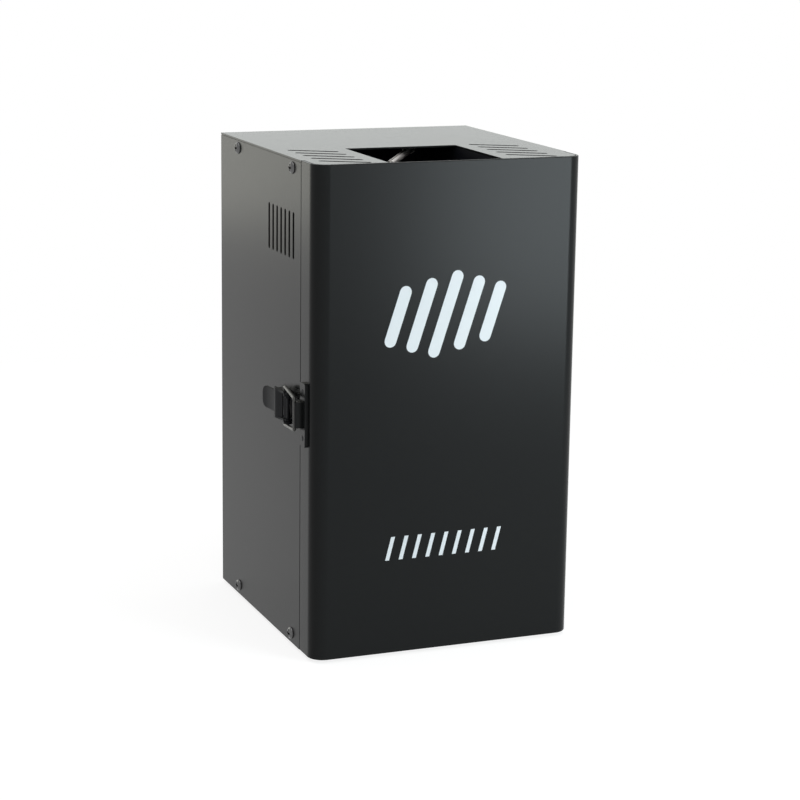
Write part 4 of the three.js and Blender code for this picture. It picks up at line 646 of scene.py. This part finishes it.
def wire(points, diameter, radius, sides=5):
    """A round wire bent along a line given in millimetres, with closed ends"""
    path = rounded_path([at(*point) for point in points], radius / 1000)
    bpy.ops.curve.primitive_nurbs_path_add(location=(0, 0, 0))
    line = bpy.context.object
    line.data.splines.clear()
    spline = line.data.splines.new('POLY')
    spline.points.add(len(path) - 1)
    for point, place in zip(spline.points, path):
        point.co = (*place, 1)
    line.data.bevel_depth = diameter / 2000
    line.data.bevel_resolution = sides
    line.data.use_fill_caps = True
    bpy.ops.object.convert(target='MESH')
    bpy.ops.object.mode_set(mode='EDIT')
    bpy.ops.mesh.select_all(action='SELECT')
    bpy.ops.mesh.remove_doubles(threshold=0.000001)
    return settled()


bail = wire([(BAIL_X, BAIL_Y, LATCH_Z + BAIL_INNER), (BAIL_X, BAIL_Y, LATCH_Z + BAIL_OUTER),
             (BAR_X, BAR_Y, LATCH_Z + BAR_HALF), (BAR_X, BAR_Y, LATCH_Z - BAR_HALF),
             (BAIL_X, BAIL_Y, LATCH_Z - BAIL_OUTER), (BAIL_X, BAIL_Y, LATCH_Z - BAIL_INNER)],
            BAIL_WIRE, 2.5)
dark_wire = grain("darkened_steel_wire", (0.050, 0.050, 0.048), (0.080, 0.080, 0.075), (0.28, 0.38),
                  metallic=0.6, scale=700, bump=0.05, cloud=60, level=0.3)
finish(bail, "latch_bail_wire", "bail", "black_steel", dark_wire, "latch_bail")

# Burner box: four walls of steel in matt heat proof paint, bent from one strip and closed at a corner.
# It stands on the deck under the mouth of the lid, and the electrode comes in through its rear wall.
DECK_TOP, BOX_SHEET, SPARK_Z, SPARK_X = 291.8, 1.5, 394, 26
stove_paint = grain("burner_box_paint", (0.0045, 0.005, 0.0075), (0.008, 0.0085, 0.011), (0.60, 0.72),
                    scale=700, bump=0.08, cloud=14, level=0.05)
box = block(MOUTH_LEFT - BOX_SHEET, MOUTH_RIGHT + BOX_SHEET, NOSE, 41.5, DECK_TOP, ROOF)
round_edges(box, lambda middle, way: abs(way.z) > 0.9, 2, 4)
open_up(box, lambda middle, normal: abs(normal.z) > 0.9)
apply(box, 'SOLIDIFY', thickness=BOX_SHEET / 1000, offset=-1, use_even_offset=True)
carve(box, rod('y', SPARK_X, 35, SPARK_Z, 10.6, 12, 32))
soften(box, 0.3)
finish(box, "burner_box_walls", "case", "inner_paint", stove_paint, "burner_box")

# Gas riser and nozzle: a brass tube up from the valve, and a nozzle turned from hexagon brass bar.
# The nozzle has flats for a spanner at its foot, a cone and four side holes for air.
AXIS_X, AXIS_Y = BURNER
NOZZLE_FOOT, AIR_HOLE, AIR_Z, OTHER_AIR_Z = 311.5, 2, 326.0, 329.4
brass = grain("turned_brass", (0.50, 0.34, 0.13), (0.62, 0.45, 0.19), (0.20, 0.34), metallic=1.0,
              scale=500, bump=0.05, cloud=40, stretch=(1, 1, 12))
riser = turned('z', *BURNER, 0, [(2, 282), (4, 282), (4, 319.5), (2, 319.5), (2, 282)], 32)
finish(riser, "riser_tube", "case", "brass", brass, "gas_riser")
nozzle_line = [(4.3, 0), (8.4, 0), (9, 0.6), (9, 9), (8.6, 9.6), (8.6, 10.6), (9, 11.2), (9, 13),
               (6.3, 15.2), (5.4, 19), (4.05, 26), (1.5, 26), (1.5, 8.3), (4.3, 8.3), (4.3, 0)]
nozzle = turned('z', *BURNER, NOZZLE_FOOT, nozzle_line, 48)
flats = rod('z', *BURNER, 300, 60, 21, 48)
nut = rod('z', *BURNER, 299, 18.6, 23, 6)
carve(flats, nut)
air = [rod('x', AXIS_X - 12, AXIS_Y, AIR_Z, AIR_HOLE, 24, 16),
       rod('y', AXIS_X, AXIS_Y - 12, OTHER_AIR_Z, AIR_HOLE, 24, 16)]
carve(nozzle, flats, *air)
soften(nozzle, 0.2)
finish(nozzle, "nozzle_turned", "case", "brass", brass, "burner_nozzle")

# Ignition: a thick steel electrode with a groove along its top, held in a ribbed ceramic tube, and a
# turned steel pin screwed to the deck for the spark to meet. The flame has tinted both.
PIN_X, PIN_Y = -31.68, -66
spark_steel = grain("heat_tinted_steel", (0.42, 0.39, 0.37), (0.56, 0.55, 0.53), (0.34, 0.46), metallic=0.7,
                    scale=500, bump=0.03, cloud=18)
electrode = wire([(SPARK_X, 63, SPARK_Z), (SPARK_X, 30, SPARK_Z), (PIN_X, PIN_Y, SPARK_Z)], 5.6, 14, 8)
groove = [(27.2, 30), (25.9, 30.8), (-33.2, -67.6), (-31.9, -68.4)]
carve(electrode, cut_out('z', groove, SPARK_Z + 1.4, SPARK_Z + 6))
finish(electrode, "spark_rod", "case", "bright_steel", spark_steel, "spark_electrode")
white_ceramic = grain("glazed_ceramic", (0.72, 0.70, 0.64), (0.80, 0.78, 0.73), (0.3, 0.45), scale=300,
                      bump=0.05)
ribs = [(5, 48.5), (5, 50.5), (4.2, 51), (4.2, 52), (5, 52.5), (5, 54), (4.2, 54.5), (4.2, 55.5), (5, 56)]
tube_line = [(3, 33), (4.4, 33), (5, 33.6), (5, 41.8), (6, 41.8), (6, 46.4), (5.6, 46.8), (5, 46.8), *ribs,
             (5, 58.4), (4.4, 59), (3, 59), (3, 33)]
tube = turned('y', SPARK_X, 0, SPARK_Z, tube_line, 32)
finish(tube, "spark_tube", "case", "ceramic", white_ceramic, "spark_insulator")
pin_line = [(0, 0), (5.6, 0), (6, 0.4), (6, 3.6), (5.6, 4), (2, 4), (2, 92), (1.2, 94), (0, 94.7)]
earth = turned('z', PIN_X, PIN_Y, DECK_TOP, pin_line, 24)
finish(earth, "earth_pin", "case", "bright_steel", spark_steel, "ground_electrode")

# Valve: a milled brass block under the deck, closed by four steel cap screws on its front.
# A solenoid coil moulded in black plastic sits behind it, with its plug below.
DECK_FOOT, VALVE_HALF, VALVE_HEIGHT, CAP_STEP = 289.7, 20, 26, 14
valve = block(AXIS_X - VALVE_HALF, AXIS_X + VALVE_HALF, AXIS_Y - VALVE_HALF, AXIS_Y + VALVE_HALF,
              DECK_FOOT - VALVE_HEIGHT, DECK_FOOT)
carve(valve, rod('z', *BURNER, 281.7, 8.6, 20, 32), rod('z', *BURNER, 260, 4.6, 9, 24))
soften(valve, 0.8, 3)
finish(valve, "valve_body", "case", "brass", brass, "valve_block")
cap_line = [(0, -1.2), (1.3, -1.2), (1.4, -2.6), (2.5, -2.8), (2.9, -2.4), (2.9, 0.4), (0, 0.4)]
caps = [turned('y', AXIS_X + x, AXIS_Y - VALVE_HALF, z, cap_line, 20)
        for z in (268.7, 284.7) for x in (-CAP_STEP, CAP_STEP)]
finish(gather(caps), "valve_cap_screws", "case", "bright_steel", bright_steel)
moulded_black = grain("moulded_black_plastic", (0.012, 0.012, 0.013), (0.020, 0.020, 0.021),
                      (0.42, 0.60), scale=1100, bump=0.18)
coil_line = [(0, 0), (7.5, 0), (7.5, 3), (11.8, 3), (12.5, 3.7), (12.5, 32.3), (11.8, 33), (7.5, 33),
             (7.5, 35.4), (6.9, 36), (0, 36)]
coil = turned('y', AXIS_X, AXIS_Y + VALVE_HALF + 0.3, 276.7, coil_line, 48)
plug = block(AXIS_X - 7, AXIS_X + 7, AXIS_Y + 29, AXIS_Y + 45, 262, 270)
soften(plug, 1, 3, 35)
unite(coil, plug)
finish(coil, "valve_coil_body", "case", "black_plastic", moulded_black, "valve_coil")

# Gas canister: a drawn steel can in plain white lacquer, 65 mm across, that stands in the seat.
# It has a seamed foot, a domed shoulder, a crimped cup and a hollow stem that enters the valve.
lacquer = grain("white_can_lacquer", (0.66, 0.67, 0.66), (0.71, 0.72, 0.71), (0.25, 0.27), scale=250,
                bump=0.0, coat=0.4)
CAN_FOOT, CAN_RADIUS, NECK_RADIUS, WALL_TOP, SHOULDER_RISE = 57.7, 32.5, 16, 185, 9.4
foot_line = [(0, 2.6), (27, 2.2), (29.4, 0), (31, 0), (32.2, 1), (CAN_RADIUS, 2), (32.2, 3), (32.2, 4),
             (CAN_RADIUS, 5)]
shoulder = [(NECK_RADIUS + (CAN_RADIUS - NECK_RADIUS) * math.cos(angle),
             WALL_TOP + SHOULDER_RISE * math.sin(angle))
            for angle in (math.pi / 2 * i / 10 for i in range(11))]
stem_line = [(16.4, 195.6), (17, 197.4), (16.6, 199.4), (15.6, 200), (13.6, 199.6), (12.6, 196.4),
             (6, 196), (5, 199.6), (2.6, 200), (2, 200.6), (2, 210.6), (1.6, 211), (1, 211), (1, 203),
             (0, 203)]
can = turned('z', *BURNER, CAN_FOOT, foot_line + shoulder + stem_line, 64)
finish(can, "gas_can", "seat", "white_paint", lacquer, "gas_canister")

# Canister seat: a zinc plated steel cup with an arm and a boss welded on each side.
# The bosses slide on two polished steel rods, each turned with a foot and a head that is screwed on.
SEAT_FOOT, SEAT_FLOOR, ROD_OFFSET, FLOOR_TOP = 54.4, 3, 50, 1.8
zinc = grain("zinc_plated_sheet", (0.34, 0.35, 0.36), (0.50, 0.51, 0.52), (0.28, 0.46), metallic=1.0,
             scale=240, bump=0.04, cloud=70)
RODS = [AXIS_X - ROD_OFFSET, AXIS_X + ROD_OFFSET]
cup_line = [(0, 0), (34.8, 0), (35.3, 0.5), (35.3, 14.4), (34.8, 15), (33.8, 15), (33.3, 14.4),
            (33.3, SEAT_FLOOR), (0, SEAT_FLOOR)]
cup = turned('z', *BURNER, SEAT_FOOT, cup_line, 64)
hollow = rod('z', *BURNER, SEAT_FOOT + SEAT_FLOOR, 66.6, 20, 64)
arms = block(RODS[0], RODS[1], AXIS_Y - 7, AXIS_Y + 7, SEAT_FOOT + 0.1, SEAT_FOOT + SEAT_FLOOR - 0.1)
carve(arms, hollow)
bosses = [rod('z', x, AXIS_Y, SEAT_FOOT, 17, 16, 40) for x in RODS]
unite(cup, arms, gather(bosses))
carve(cup, gather([rod('z', x, AXIS_Y, 40, 8.6, 60, 32) for x in RODS]))
soften(cup, 0.3)
finish(cup, "seat_cup", "seat", "zinc_sheet", zinc, "canister_seat")
guide_line = [(0, FLOOR_TOP), (8, FLOOR_TOP), (8, 7.2), (7.4, 7.8), (4, 7.8), (4, 283.7), (7.4, 283.7),
              (8, 284.3), (8, DECK_FOOT), (0, DECK_FOOT)]
for word, x in zip(("left", "right"), RODS):
    guide = turned('z', x, AXIS_Y, 0, guide_line, 32)
    finish(guide, word + "_guide", "case", "bright_steel", bright_steel, word + "_guide_rod")

# Lift: a turned aluminium wheel with a hub and a notched rim, which carries the seat.
# It winds up and down a threaded steel stud with a round foot that is fixed to the floor.
WHEEL_FOOT, WHEEL_SIZE, WHEEL_HEIGHT, RIM_STEPS, RIM_NOTCH = 44.1, 58, 10, 144, 0.965
THREAD_START, THREAD_STEP, THREAD_TURNS, ROOT_RADIUS, CREST_RADIUS = 6, 3.8, 9, 5.1, 6
turned_alloy = grain("turned_aluminium", (0.50, 0.51, 0.52), (0.62, 0.63, 0.64), (0.24, 0.38),
                     metallic=1.0, scale=420, bump=0.05, cloud=50, stretch=(1, 1, 8))


def in_notch(place, normal):
    """Picks every second pair of corners round the rim of the wheel"""
    across, along = place.x - AXIS_X, place.y - AXIS_Y
    step = round(math.atan2(along, across) / math.tau * RIM_STEPS)
    return math.hypot(across, along) > 20 and step % 4 < 2


wheel = rod('z', *BURNER, WHEEL_FOOT, WHEEL_SIZE, WHEEL_HEIGHT, RIM_STEPS)
edit(wheel, 'VERT', in_notch)
bpy.ops.transform.resize(value=(RIM_NOTCH, RIM_NOTCH, 1),
                         center_override=at(*BURNER, WHEEL_FOOT + WHEEL_HEIGHT / 2))
close()
hub = turned('z', *BURNER, 30.1, [(0, 0), (11.4, 0), (12, 0.6), (12, 15), (0, 15)], 48)
unite(wheel, hub)
carve(wheel, rod('z', *BURNER, 20, 12.6, 50, 40))
soften(wheel, 0.3)
finish(wheel, "lift_wheel_knurled", "wheel", "turned_aluminium", turned_alloy, "lift_wheel", smooth=25)
stud_line = [(0, FLOOR_TOP), (17, FLOOR_TOP), (17, 4.3), (16.5, 4.8), (ROOT_RADIUS, 4.8)]
for turn in range(THREAD_TURNS):
    z = THREAD_START + turn * THREAD_STEP
    stud_line += [(ROOT_RADIUS, z), (CREST_RADIUS, z + 1.2), (CREST_RADIUS, z + 1.9),
                  (ROOT_RADIUS, z + 3.1)]
stud_line += [(ROOT_RADIUS, 41), (4.3, 41.8), (0, 41.8)]
stud = turned('z', *BURNER, 0, stud_line, 40)
finish(stud, "lift_stud_threaded", "case", "bright_steel", bright_steel, "lift_stud")

# Inside sheets: the floor is a folded steel tray painted black, and the deck and the partition are bare
# zinc plated steel. They keep the shape of the frame's own parts and only get their finish here.
inner_paint = grain("inside_black_paint", (0.010, 0.010, 0.011), (0.017, 0.017, 0.018), (0.5, 0.66),
                    scale=700, bump=0.15)
board_green = grain("circuit_board_lacquer", (0.008, 0.075, 0.030), (0.014, 0.10, 0.045),
                    (0.25, 0.40), scale=500, bump=0.08, cloud=120)


def dress(look, *nodes):
    """Gives a finish to pieces that keep the shape of the frame's own parts"""
    for node in nodes:
        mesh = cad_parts[node].data
        mesh.materials.clear()
        mesh.materials.append(look)


dress(inner_paint, "base_pan")
dress(zinc, "burner_deck", "partition_panel")

# Electrics in the rear bay: an ignition transformer in moulded plastic, a power supply in an aluminium
# case and a lacquered circuit board, which keep their own shape. A red silicone lead, bent once when
# it was fitted, runs from the transformer up to the electrode.
LEAD_WIDTH, LEAD_BEND = 5, 9
dress(moulded_black, "ignition_transformer")
dress(turned_alloy, "power_supply")
dress(board_green, "control_board")
lead_rubber = grain("red_silicone_lead", (0.26, 0.014, 0.010), (0.34, 0.022, 0.016), (0.42, 0.55),
                    scale=500, bump=0.06)
lead_line = [(38.1, 244), (58, 244), (68, 262), (74, 330), (82, 380), (78, SPARK_Z), (63.3, SPARK_Z)]
lead = wire([(SPARK_X, y, z) for y, z in lead_line], LEAD_WIDTH, LEAD_BEND)
finish(lead, "spark_lead_cable", "case", "lead_rubber", lead_rubber, "spark_lead")

# Rear panel: a flat steel sheet with the same coat as the case and an opening for each fitting.
# Eight screws near its edges hold it to the case. They are made further down, with those of the inlet.
POWER_X, INLET_Z, SWITCH_Z, DISPLAY_Z, EDGE_GAP = -72, 44, 88, 352, 0.3
BUTTONS, BUTTON_Z, LOCK_X, LOCK_Z = [-27, -9, 9, 27], 320, 74, 340
SOCKET_IN_X, SOCKET_OUT_X, SOCKET_Z = 62, 20, 50
REAR_HALF = HALF_WIDTH - PANEL - EDGE_GAP


def fitting(x, z, width, height, start, end, corner=0, steps=5):
    """A block about a place on the rear panel, with rounded corners where a radius is given"""
    piece = block(x - width / 2, x + width / 2, start, end, z - height / 2, z + height / 2)
    if corner:
        round_edges(piece, lambda middle, way: abs(way.y) > 0.9, corner, steps)
    return piece


rear = block(-REAR_HALF, REAR_HALF, BACK - PANEL, BACK, 0, ROOF)
sizes = ((0, DISPLAY_Z, 72, 30), (POWER_X, INLET_Z, 30, 24), (POWER_X, SWITCH_Z, 21, 28))
openings = [fitting(x, z, width + 2 * EDGE_GAP, height + 2 * EDGE_GAP, 110, 130)
            for x, z, width, height in sizes]
holes = [(x, BUTTON_Z, 8.6) for x in BUTTONS]
holes += [(SOCKET_IN_X, SOCKET_Z, 24.2), (SOCKET_OUT_X, SOCKET_Z, 24.2), (LOCK_X, LOCK_Z, 19.6)]
openings += [rod('y', x, 110, z, width, 20, 40) for x, z, width in holes]
carve(rear, gather(openings))
soften(rear, 0.3)
finish(rear, "rear_sheet", "case", "case_paint", powder_coat, "rear_panel")

# Display: a moulded black frame that is pushed into the panel from outside, round a dark window.
# A plain three digit number is lit on the window.
LIT_FACE, DIGIT_PITCH = 121.0, 13
window_frame = fitting(0, DISPLAY_Z, 78, 36, 119.6, 121.6, 2)
unite(window_frame, fitting(0, DISPLAY_Z, 71.6, 29.6, 110.5, 121))
carve(window_frame, fitting(0, DISPLAY_Z, 66, 24, 120.8, 130))
soften(window_frame, 0.4, 3)
finish(window_frame, "display_frame", "case", "black_plastic", moulded_black, "display_module")
window = fitting(0, DISPLAY_Z, 65.8, 23.8, 120.6, LIT_FACE)
soften(window, 0.15)
display_glass = grain("dark_window", (0.004, 0.006, 0.012), (0.006, 0.009, 0.016), (0.04, 0.08),
                      scale=60, bump=0.0, coat=1.0)
finish(window, "display_window", "case", "display_glass", display_glass)
# Each bar of a digit has a place, a width and a height. From behind the case, the number is read from
# plus x to minus x.
ZERO = [(0, 6.4, 5, 1), (-3.1, 3.2, 1, 5), (-3.1, -3.2, 1, 5), (0, -6.4, 5, 1), (3.1, -3.2, 1, 5),
        (3.1, 3.2, 1, 5)]
ONE = ZERO[1:3]
segments = gather([
    fitting(x + aside, DISPLAY_Z + above, width, height, LIT_FACE - 0.1, LIT_FACE + 0.1)
    for x, digit in ((DIGIT_PITCH, ZERO), (0, ZERO), (-DIGIT_PITCH, ONE))
    for aside, above, width, height in digit])
lit_red = grain("lit_red_digits", (0.70, 0.030, 0.015), (0.80, 0.045, 0.020), (0.3, 0.4), scale=200,
                bump=0.0)
tune(lit_red.node_tree.nodes["Principled BSDF"], Emission_Color=(1.0, 0.06, 0.02, 1),
     Emission_Strength=0.8)
finish(segments, "display_digits", "case", "display_glass", lit_red)

# Menu buttons: four moulded plastic caps with dished tops, each on a short stem and with a collar that
# keeps it behind the panel. One is made and copied to each place.
button_line = [(0, 114.2), (2, 114.2), (2, 117.2), (5.25, 117.2), (5.25, 118.2), (4, 118.2), (4, 121.3),
               (3.8, 121.65), (3.4, 121.8), (2.6, 121.6), (1.3, 121.4), (0, 121.35)]
first_button = turned('y', BUTTONS[0], 0, BUTTON_Z, button_line, 40)
for number, x in enumerate(BUTTONS, 1):
    cap = copy(first_button, (x - BUTTONS[0], 0, 0))
    finish(cap, f"menu_cap_{number}", f"button_{number}", "black_plastic", moulded_black,
           f"menu_button_{number}")
bpy.data.objects.remove(first_button)

# Power inlet: a moulded plastic body with a flange, a keyed recess and three flat plated pins.
# Two screws through the flange hold it to the rear panel.
inlet = fitting(POWER_X, INLET_Z, 30, 24, 96.5, 122.8)
unite(inlet, fitting(POWER_X, INLET_Z, 38, 32, BACK, 123, 3))
mouth = fitting(POWER_X, INLET_Z, 24, 18, 108, 130)
round_edges(mouth, lambda middle, way: abs(way.y) > 0.9 and middle.z < INLET_Z, 4, 1)
carve(inlet, mouth)
soften(inlet, 0.4, 3)
finish(inlet, "inlet_body", "case", "black_plastic", moulded_black, "power_inlet")
blades = gather([fitting(POWER_X + x, INLET_Z + z, 2, 6, 107.5, 117)
                 for x, z in ((-7, -2.4), (0, 2.4), (7, -2.4))])
soften(blades, 0.4)
finish(blades, "inlet_blades", "case", "bright_steel", bright_steel)


def fixing_screws(name, places, y, radius=2.4, height=0.9):
    """Small domed screws with a cross recess on the rear face"""
    slot, arm, heads = 0.6, 2.6, []
    for x, z in places:
        small = turned('y', x, y, z, low_head(radius, height, 0.3), 24)
        cuts = [fitting(x, z, wide, high, y + height - 0.6, y + 3)
                for wide, high in ((slot, arm), (arm, slot))]
        carve(small, unite(*cuts))
        heads.append(small)
    finish(gather(heads), name, "case", "screw_steel", screw_steel)


# The inlet's own screws sit on its flange, and eight larger ones hold the rear panel.
fixing_screws("inlet_screws", [(POWER_X - 15.9, INLET_Z), (POWER_X + 15.9, INLET_Z)], 122.7, 2.2, 0.9)
sheet_places = [(x, z) for x in (-106, 106) for z in (8, 134, 262, 390)]
fixing_screws("rear_sheet_screws", sheet_places, BACK - 0.1, 3, 1.4)

# Power switch: a moulded black housing that clips into the panel, with a rim round its opening.
# A glossy red rocker with a dished face tips in it.
housing = fitting(POWER_X, SWITCH_Z, 21, 28, 100.5, 121.9)
unite(housing, fitting(POWER_X, SWITCH_Z, 25, 32, BACK, 122, 1.5, 4))
carve(housing, fitting(POWER_X, SWITCH_Z, 17, 24, 110, 130))
soften(housing, 0.4, 3)
finish(housing, "switch_housing", "case", "black_plastic", moulded_black, "power_switch_housing")
ROCKER_Y = 116.0
tilt = math.radians(-10)
outline = [(4.9, 0), (5.4, 3.6), (6.4, 7.2), (8, 10.4), (-2, 8), (-3, 0), (-2, -8), (8, -10.4),
           (6.4, -7.2), (5.4, -3.6)]
rocker = cut_out('x', [(ROCKER_Y + out * math.cos(tilt) - up * math.sin(tilt),
                        SWITCH_Z + out * math.sin(tilt) + up * math.cos(tilt)) for out, up in outline],
                 POWER_X - 8.2, POWER_X + 8.2)
soften(rocker, 0.5, 3, 40)
red_gloss = grain("red_switch_plastic", (0.36, 0.012, 0.008), (0.44, 0.020, 0.014), (0.18, 0.28), scale=400,
                  bump=0.03, coat=0.3)
finish(rocker, "switch_rocker", "rocker", "red_plastic", red_gloss, "power_switch_rocker", smooth=50)

# Signal sockets: two cast metal shells with a flange and a round opening, each held by two screws.
# One has three turned pins, and the other has a moulded insert with three holes.
FLANGE_FACE, CONTACT_OUT = 122, 4
for word, x in (("in", SOCKET_IN_X), ("out", SOCKET_OUT_X)):
    flange = fitting(x, SOCKET_Z, 26, 31, BACK, FLANGE_FACE, 2.5)
    unite(flange, rod('y', x, 96.5, SOCKET_Z, 23.6, 24.5, 48))
    carve(flange, rod('y', x, 110, SOCKET_Z, 18.6, 20, 48))
    soften(flange, 0.4, 3)
    finish(flange, f"dmx_{word}_shell", "case", "turned_aluminium", turned_alloy, f"dmx_{word}_socket")
    contacts = [(x + CONTACT_OUT * math.cos(angle), SOCKET_Z + CONTACT_OUT * math.sin(angle))
                for angle in (math.radians(120 * i - 90) for i in range(3))]
    if word == "in":
        contact_line = [(0, 0), (1.2, 0), (1.2, 9.6), (0.9, 10.3), (0, 10.5)]
        pins = [turned('y', pin_x, 109.5, pin_z, contact_line, 20) for pin_x, pin_z in contacts]
        finish(gather(pins), "dmx_in_pins", "case", "bright_steel", bright_steel)
    else:
        insert = rod('y', x, 109.5, SOCKET_Z, 14, 10.5, 40)
        carve(insert, gather([rod('y', pin_x, 112, pin_z, 2.4, 10, 20) for pin_x, pin_z in contacts]))
        soften(insert, 0.3)
        finish(insert, "dmx_out_insert", "case", "black_plastic", moulded_black)
    corners = [(x - 9.6, SOCKET_Z + 11.8), (x + 9.6, SOCKET_Z - 11.8)]
    fixing_screws(f"dmx_{word}_screws", corners, FLANGE_FACE)

# Arming lock: a turned steel housing through the rear panel, with a plug that turns in it.
# The flat key is nickel plated, with a round bow, a hole for a ring and a groove along each side.
BOW_Y = 134.3
lock_line = [(0, 92.5), (9.5, 92.5), (9.5, BACK), (12, BACK), (12, 122.6), (11.6, 123.4), (10.8, 124),
             (6.4, 124), (5.8, 123.4), (5.8, 106.7), (0, 106.7)]
lock = turned('y', LOCK_X, 0, LOCK_Z, lock_line, 48)
finish(lock, "lock_housing", "case", "bright_steel", bright_steel, "arming_lock")
plug_line = [(0, 107), (5.5, 107), (5.5, 123.6), (5.1, 124), (0, 124)]
plug = turned('y', LOCK_X, 0, LOCK_Z, plug_line, 40)
carve(plug, fitting(LOCK_X, LOCK_Z, 2.6, 9, 109.7, 130))
soften(plug, 0.15)
finish(plug, "lock_plug_turned", "key", "bright_steel", bright_steel, "lock_plug")
key = rod('x', LOCK_X - 1, BOW_Y, LOCK_Z, 20, 2, 48)
carve(key, rod('x', LOCK_X - 4, BOW_Y + 5, LOCK_Z, 7, 8, 32))
unite(key, fitting(LOCK_X, LOCK_Z, 1.6, 8.4, 110, 130))
carve(key, block(LOCK_X + 0.3, LOCK_X + 6, 100, 124.2, LOCK_Z - 1.4, LOCK_Z - 0.2),
      block(LOCK_X - 4, LOCK_X - 0.3, 100, 124.2, LOCK_Z + 1.4, LOCK_Z + 2.4))
soften(key, 0.25)
key_plating = grain("nickel_plated_key", (0.44, 0.43, 0.40), (0.56, 0.55, 0.52), (0.18, 0.32),
                    metallic=1.0, scale=400, bump=0.05, cloud=60)
finish(key, "arming_key_cut", "key", "bright_steel", key_plating, "arming_key")
